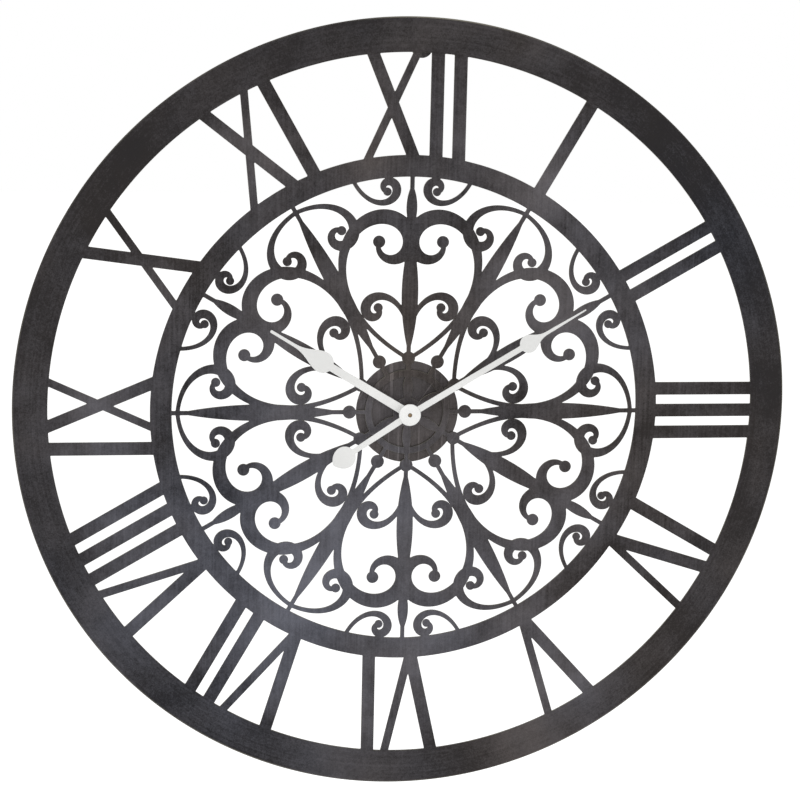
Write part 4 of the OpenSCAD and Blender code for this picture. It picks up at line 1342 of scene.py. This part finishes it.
def tail_outline(place, half, rod):
    """The minute hand's tail along y: rod and counterweight."""
    side = [(rod[0], 0)] + bulb_back(place, half, TAIL_BACK, rod[1])
    for i in range(1, 25):
        side.append((half * (1 - (i / 24) ** 2) ** 0.75, place + TAIL_FRONT * i / 24))
    return mirrored(side)


def hand_shell(outlines, boss, bore, z, thickness, clockwise):
    """A flat hand with a boss, and the short collet behind it, turned clockwise."""
    shapes = [("hand", points) for points in (*outlines, circle(boss, count=72))]
    shapes.append(("bore", circle(bore, count=48)))
    loops = united(shapes, lambda names, x, y: "bore" not in names)
    loops = [turn(loop, -math.degrees(clockwise)) for loop in loops]
    shell = Shell()
    plate(shell, [thinned(rounded(loop, 1.0, 0.45, 16), 0.004) for loop in loops], z,
          z + thickness, HAND_EDGE)
    lathe(shell, [(bore, z + 0.02), (bore, z - COLLET), (bore + 0.8, z - COLLET),
                  (bore + 1, z - COLLET + 0.2), (bore + 1, z + 0.02), (bore, z + 0.02)],
          count=48)
    return shell


def lengthwise(x, y, z):
    """What lays a turned piece along x, from a place on."""
    return lambda a, b, c: (x + c, y + b, z - a)


# Operators

class CLOCK_OT_finishes(bpy.types.Operator):
    """Make the finishes and give each node of the frame its own"""
    bl_idname = "clock.finishes"
    bl_label = "Finishes"

    def execute(self, context):
        make_materials()
        for part in frame["record"]["subparts"]:
            mesh = frame["nodes"][part["node"]].data
            name = "dull_brass" if part["node"] == "minute_arbor" else part["material_slot"]
            for i in range(len(mesh.materials)):
                mesh.materials[i] = MADE[name]
        return {"FINISHED"}


class CLOCK_OT_dial_sheet(bpy.types.Operator):
    """Cut the rings, numerals and scrollwork from one sheet"""
    bl_idname = "clock.dial_sheet"
    bl_label = "Dial sheet"

    def execute(self, context):
        dial = Sizes("clock_dial")
        sheet = Shell()
        plate(sheet, dial_loops(), -dial.sheet, 0, dial.edge)
        piece(sheet, "dial_sheet", "dial", "dial_paint",
              "outer_ring", "inner_ring", "centre_boss",
              *("numeral_%d" % k for k in range(1, 13)),
              *("scroll_panel_%d" % k for k in range(1, 7)))
        return {"FINISHED"}


class CLOCK_OT_mounting_disc(bpy.types.Operator):
    """Make the round disc behind the centre"""
    bl_idname = "clock.mounting_disc"
    bl_label = "Mounting disc"

    def execute(self, context):
        dial = Sizes("clock_dial")
        disc = Shell()
        loops = [circle(dial.disc_radius, count=256), circle(AXIS_BORE, count=48)[::-1]]
        plate(disc, loops, -dial.sheet - dial.disc_thickness, -dial.sheet, DISC_EDGE)
        piece(disc, "mounting_disc_plate", "dial", "dial_paint", "mounting_disc",
              materials=["disc_paint"])
        return {"FINISHED"}


class CLOCK_OT_hands(bpy.types.Operator):
    """Make both hands and the cap"""
    bl_idname = "clock.hands"
    bl_label = "Hands and cap"

    def execute(self, context):
        hands = Sizes("clock_hands")
        cap = hands.cap
        hour = hand_outline(hands.hour, hands.hour_bulb, hands.hour_bulb_radius,
                            hands.hour_rod, hollow=42, power=2, point=1.6, tip=1.5)
        piece(hand_shell([hour], HOUR_BOSS, HOUR_BORE, HOUR_BACK, hands.thickness,
                         hands.hour_angle),
              "hour_hand_plate", "hour_hand", "white_paint", "hour_hand")
        minute = hand_outline(hands.minute, hands.minute_bulb, hands.minute_bulb_radius,
                              hands.minute_rod, hollow=30, power=2.8, point=1.6, tip=0.7)
        tail = turn(tail_outline(hands.tail, hands.tail_half, hands.tail_rod),
                    180 + math.degrees(hands.tail_lean))
        piece(hand_shell([minute, tail], cap - 0.6, MINUTE_BORE, MINUTE_BACK,
                         hands.thickness, hands.minute_angle),
              "minute_hand_plate", "minute_hand", "white_paint", "minute_hand")
        profile = [(CAP_BORE, CAP_FOOT), (cap - 0.3, CAP_FOOT), (cap, CAP_FOOT + 0.3),
                   *((cap - 1 + math.cos(a), CAP_TOP - 1 + math.sin(a)) for a in quarter(6)),
                   (2.9, CAP_TOP), (2.2, CAP_TOP - 0.25), (CAP_BORE, CAP_TOP - 0.45),
                   (CAP_BORE, CAP_FOOT)]
        # The last two steps are the floor of the recess and the bore, in brass darkened as
        # painted shade
        slots = [0] * (len(profile) - 3) + [1] * 2
        shell = Shell()
        lathe(shell, profile, count=96, slot=slots)
        piece(shell, "hub_cap", "minute_hand", "white_plastic", "hand_cap", crease=40,
              materials=["white_plastic", "browned_brass"])
        return {"FINISHED"}


class CLOCK_OT_fixings(bpy.types.Operator):
    """Make the hanging bracket, the posts and their pads"""
    bl_idname = "clock.fixings"
    bl_label = "Bracket, posts and pads"

    def execute(self, context):
        dial = Sizes("clock_dial")
        back = -dial.sheet
        strap = Shell()
        # The strap's outer bends, its inner bends, then every edge that runs along it
        strap.take(softened(
            "hanging_bracket",
            (1.4, 4, lambda x, y, z: y > 392.9 and (z > -2.1 or z < -23.9)),
            (0.7, 3, lambda x, y, z: abs(y - 391) < 0.1 and -22.1 < z < -3.9),
            (0.3, 2, lambda x, y, z: abs(x) > 0)), FLAT)
        for side, seed in BEAD_ROWS:
            bead = Shell()
            lathe(bead, BEAD, count=10)
            row = grown(row_tree("fixing_paint"),
                        {"Count": BEADS, "Step": (0.0, BEAD_STEP, 0.0),
                         "Uneven": BEAD_UNEVEN, "Seed": seed},
                        bead.mesh("bead", place=as_drawn))
            strap.take(row, along=lambda x, y, z, side=side: (side + x, BEADS_FROM + y,
                                                              back - 0.5 + z))
        piece(strap, "hanging_strap", "dial", "fixing_paint", "hanging_bracket")
        posts, pads = Shell(), Shell()
        for degrees in (-120, 120):
            (at,) = turn([(0, dial.radius - dial.rim / 2)], degrees)
            lathe(posts, [*POST, (6.5, back), (0, back)], at, 48)
            lathe(pads, PAD, at, 48)
        piece(posts, "standoff_posts", "dial", "fixing_paint", "wall_posts", crease=40)
        piece(pads, "rubber_feet", "dial", "black_rubber", "wall_pads", crease=40)
        return {"FINISHED"}


class CLOCK_OT_centre_fixing(bpy.types.Operator):
    """Make the threaded bushing, its washer and nut, and the gasket behind the disc"""
    bl_idname = "clock.centre_fixing"
    bl_label = "Bushing and nut"

    def execute(self, context):
        bushing, washer, hexagon, gasket = Shell(), Shell(), Shell(), Shell()
        lathe(bushing, BUSHING, count=64)
        bushing.take(grown(coil_tree("brass"), {
            "Turns": 11.0, "Radius": 3.7, "Foot": -2.2, "Height": 7.8, "Wire": 0.28,
            "Steps": 40}))
        piece(bushing, "thread_bushing", "dial", "brass", "threaded_bushing", crease=40)
        # The washer and the nut are brass darkened as painted shade
        lathe(washer, WASHER, count=72)
        piece(washer, "brass_washer", "dial", "brass", "washer", crease=30,
              materials=["browned_brass"])
        nut(hexagon, flats=11, low=0.8, high=3.3, bore=4)
        piece(hexagon, "brass_nut", "dial", "brass", "hex_nut", materials=["browned_brass"])
        lathe(gasket, GASKET, count=72)
        piece(gasket, "rubber_gasket", "dial", "black_rubber", "gasket", crease=30)
        return {"FINISHED"}


class CLOCK_OT_movement(bpy.types.Operator):
    """Make the movement's case, its cover and the setting knob"""
    bl_idname = "clock.movement"
    bl_label = "Movement case"

    def execute(self, context):
        case, cover, disc, knob, rib = Shell(), Shell(), Shell(), Shell(), Shell()
        # The case's outer edges and those of its back
        case.take(softened("front_case", (0.35, 2, lambda x, y, z: (
            max(abs(x), abs(y)) > 27.5 or z < -20.4))), FLAT)
        prism(rib, RIB, -18, -8)
        for side in (-1, 1):
            row = grown(row_tree("case_plastic"),
                        {"Count": 6, "Step": (0.0, 1.5, 0.0), "Uneven": 0.0, "Seed": 1},
                        rib.mesh("rib", place=as_drawn))
            case.take(row, FLAT, along=lambda x, y, z, side=side: (
                side * (28 + x), side * (y - 7.5), z))
            prism(case, [(z, side * x) for x, z in CLIP[::side]], 8, 15,
                  along=lambda z, x, y: (x, y, z))
        piece(case, "movement_case", "dial", "case_plastic", "front_case")
        # The outer edges of the cover's back
        cover.take(softened("rear_cover", (0.3, 2, lambda x, y, z: (
            z < -20.4 and max(abs(x), abs(y - 8)) > 15))), FLAT)
        lathe(cover, KNOB_RING, KNOB_AT, 64)
        for at in STUDS:
            lathe(cover, STUD, at, 32)
        piece(cover, "movement_cover", "dial", "case_plastic", "rear_cover", crease=40)
        lathe(disc, KNOB, count=192)
        fluted = grown(flutes_tree(), {"Flutes": 24, "Radius": KNOB_RADIUS, "Depth": 0.35},
                       disc.mesh("knob_disc", place=as_drawn))
        knob.take(fluted, along=lambda x, y, z: (KNOB_AT[0] + x, KNOB_AT[1] + y, z))
        piece(knob, "fluted_knob", "setting", "bright_steel", "setting_knob", crease=35)
        return {"FINISHED"}


class CLOCK_OT_electrics(bpy.types.Operator):
    """Make the cell and the coil's winding"""
    bl_idname = "clock.electrics"
    bl_label = "Cell and winding"

    def execute(self, context):
        cell, winding = Shell(), Shell()
        along = lengthwise(*CELL_AT)
        lathe(cell, CAN, slot=2, along=along)
        slots = [int(a[1] + b[1] > 2 * BAND_FROM) for a, b in zip(WRAP, WRAP[1:])]
        lathe(cell, WRAP, slot=slots, along=along)
        piece(cell, "dry_cell", "battery", "cell_can", "battery", crease=40,
              materials=["cell_can", "cell_band", "bright_steel"])
        along = lengthwise(*WINDING_AT)
        lathe(winding, WINDING, count=48, along=along)
        winding.take(grown(coil_tree("copper_wire"), {
            "Turns": 60.0, "Radius": 3.86, "Foot": 0.15, "Height": 15.9, "Wire": 0.132,
            "Steps": 24}), along=along)
        piece(winding, "wire_winding", "dial", "copper_wire", "coil_winding", crease=40)
        return {"FINISHED"}


# The photo's view, with x right, y down and z away: the turn from the dial to the camera,
# as a vector in degrees, and where the camera sees the hands' axis, in metres
VIEW_TURN = (10.575, -8.477, 0.477)
VIEW_AWAY = (0.00759, 0.01222, 2.15239)
# The width of the camera's sensor, in millimetres
SENSOR = 36
# Each lamp's name, place in metres, share of the key light's power, and size in metres
LAMPS = (("key", (-1.5, -2.6, 1.5), 1, 2.4), ("fill", (2.3, -2.2, 0.2), 0.28, 2.4),
         ("back", (0.6, 2.6, 1.6), 0.5, 2.2))
# The floor's size in metres, and how much it shines where it is seen
FLOOR_RADIUS, FLOOR_GLOW = 20, 0.6


class CLOCK_OT_stage(bpy.types.Operator):
    """Set the floor, the lamps, the surroundings and the camera"""
    bl_idname = "clock.stage"
    bl_label = "Stage"

    def execute(self, context):
        stage = context.scene.clock_stage
        outline = circle(FLOOR_RADIUS, count=64)
        mesh = bpy.data.meshes.new("floor")
        mesh.from_pydata([(x, y, stage.drop) for x, y in outline], [],
                         [list(range(len(outline)))])
        mesh.materials.append(floor_material(stage.floor))
        floor = bpy.data.objects.new("floor", mesh)
        context.scene.collection.objects.link(floor)
        context.scene.world = surroundings(stage.ambient)
        for name, place, share, size in LAMPS:
            context.scene.collection.objects.link(lamp(name, place, stage.key * share, size))
        camera = photo_camera(stage.lens)
        context.scene.collection.objects.link(camera)
        context.scene.camera = camera
        context.scene.view_settings.view_transform = "Standard"
        return {"FINISHED"}


def surroundings(ambient):
    """White surroundings that light the object more softly than they show."""
    world = bpy.data.worlds.new("studio")
    world.use_nodes = True
    graph = Graph(world.node_tree)
    background = world.node_tree.nodes["Background"]
    background.inputs["Color"].default_value = (1, 1, 1, 1)
    graph.link(ambient + graph.seen() * (1 - ambient), background.inputs["Strength"])
    return world


def lamp(name, place, power, size):
    """A round lamp, aimed at the hands' axis and itself unseen."""
    light = bpy.data.lights.new(name, "AREA")
    light.shape, light.size, light.energy = "DISK", size, power
    made = bpy.data.objects.new(name, light)
    made.location = place
    aim = Vector(to_row(0, 0, 0)) - made.location
    made.rotation_euler = aim.to_track_quat("-Z", "Y").to_euler()
    made.visible_camera = made.visible_glossy = False
    return made


def photo_camera(lens):
    """The camera, a little above the dial and to its left."""
    tilt = Vector(map(math.radians, VIEW_TURN))
    turned = Matrix.Rotation(tilt.length, 3, tilt)
    dial_to_row = Matrix(((1, 0, 0), (0, 0, 1), (0, -1, 0)))
    flip = Matrix.Diagonal((1, -1, -1))
    spot = dial_to_row @ (turned.transposed() @ -Vector(VIEW_AWAY))
    spot += Vector(to_row(0, 0, 0))
    data = bpy.data.cameras.new("camera")
    data.sensor_width, data.lens = SENSOR, lens
    camera = bpy.data.objects.new("camera", data)
    pose = dial_to_row @ turned.transposed() @ flip
    camera.matrix_world = Matrix.Translation(spot) @ pose.to_4x4()
    return camera


def floor_material(shade):
    """A pale floor that looks white beyond the object's shadow."""
    material, graph, shader = new_material("floor")
    shader.inputs["Roughness"].default_value = 0.9
    shader.inputs["Specular IOR Level"].default_value = 0.1
    place = graph.node("ShaderNodeTexCoord", None, None, "Object")
    tone = graph.smooth(graph.noise(place, 3, 3), 0.3, 0.7)
    graph.link(graph.mix(tone, times(shade, 0.97), tuple(shade)), shader.inputs["Base Color"])
    plain = Value(graph, shader.outputs[0])
    glow = graph.node("ShaderNodeEmission", None, {"Color": (1, 1, 1, 1),
                                                   "Strength": FLOOR_GLOW})
    lit = graph.node("ShaderNodeAddShader", None, {0: plain, 1: glow})
    mixed = graph.node("ShaderNodeMixShader", None, {0: graph.seen(), 1: plain, 2: lit})
    output = material.node_tree.nodes["Material Output"]
    graph.link(mixed, output.inputs["Surface"])
    return material


class CLOCK_PT_pieces(bpy.types.Panel):
    """The clock's pieces"""
    bl_idname = "CLOCK_PT_pieces"
    bl_label = "Skeleton wall clock"
    bl_space_type = "VIEW_3D"
    bl_region_type = "UI"
    bl_category = "Clock"

    def draw(self, context):
        for operator in OPERATORS:
            self.layout.operator(operator.bl_idname)
        for group in GROUPS:
            values = getattr(context.scene, group)
            for name in values.__annotations__:
                self.layout.prop(values, name)


OPERATORS = (CLOCK_OT_finishes, CLOCK_OT_dial_sheet, CLOCK_OT_mounting_disc, CLOCK_OT_hands,
             CLOCK_OT_fixings, CLOCK_OT_centre_fixing, CLOCK_OT_movement, CLOCK_OT_electrics,
             CLOCK_OT_stage)
CLASSES = (*GROUPS.values(), *OPERATORS, CLOCK_PT_pieces)


def register():
    for each in CLASSES:
        bpy.utils.register_class(each)
    for name, group in GROUPS.items():
        setattr(bpy.types.Scene, name, bpy.props.PointerProperty(type=group))


def unregister():
    for name in GROUPS:
        delattr(bpy.types.Scene, name)
    for each in reversed(CLASSES):
        bpy.utils.unregister_class(each)


def main():
    register()
    for operator in OPERATORS:
        family, name = operator.bl_idname.split(".")
        getattr(getattr(bpy.ops, family), name)()


if __name__ == "__main__":
    main()
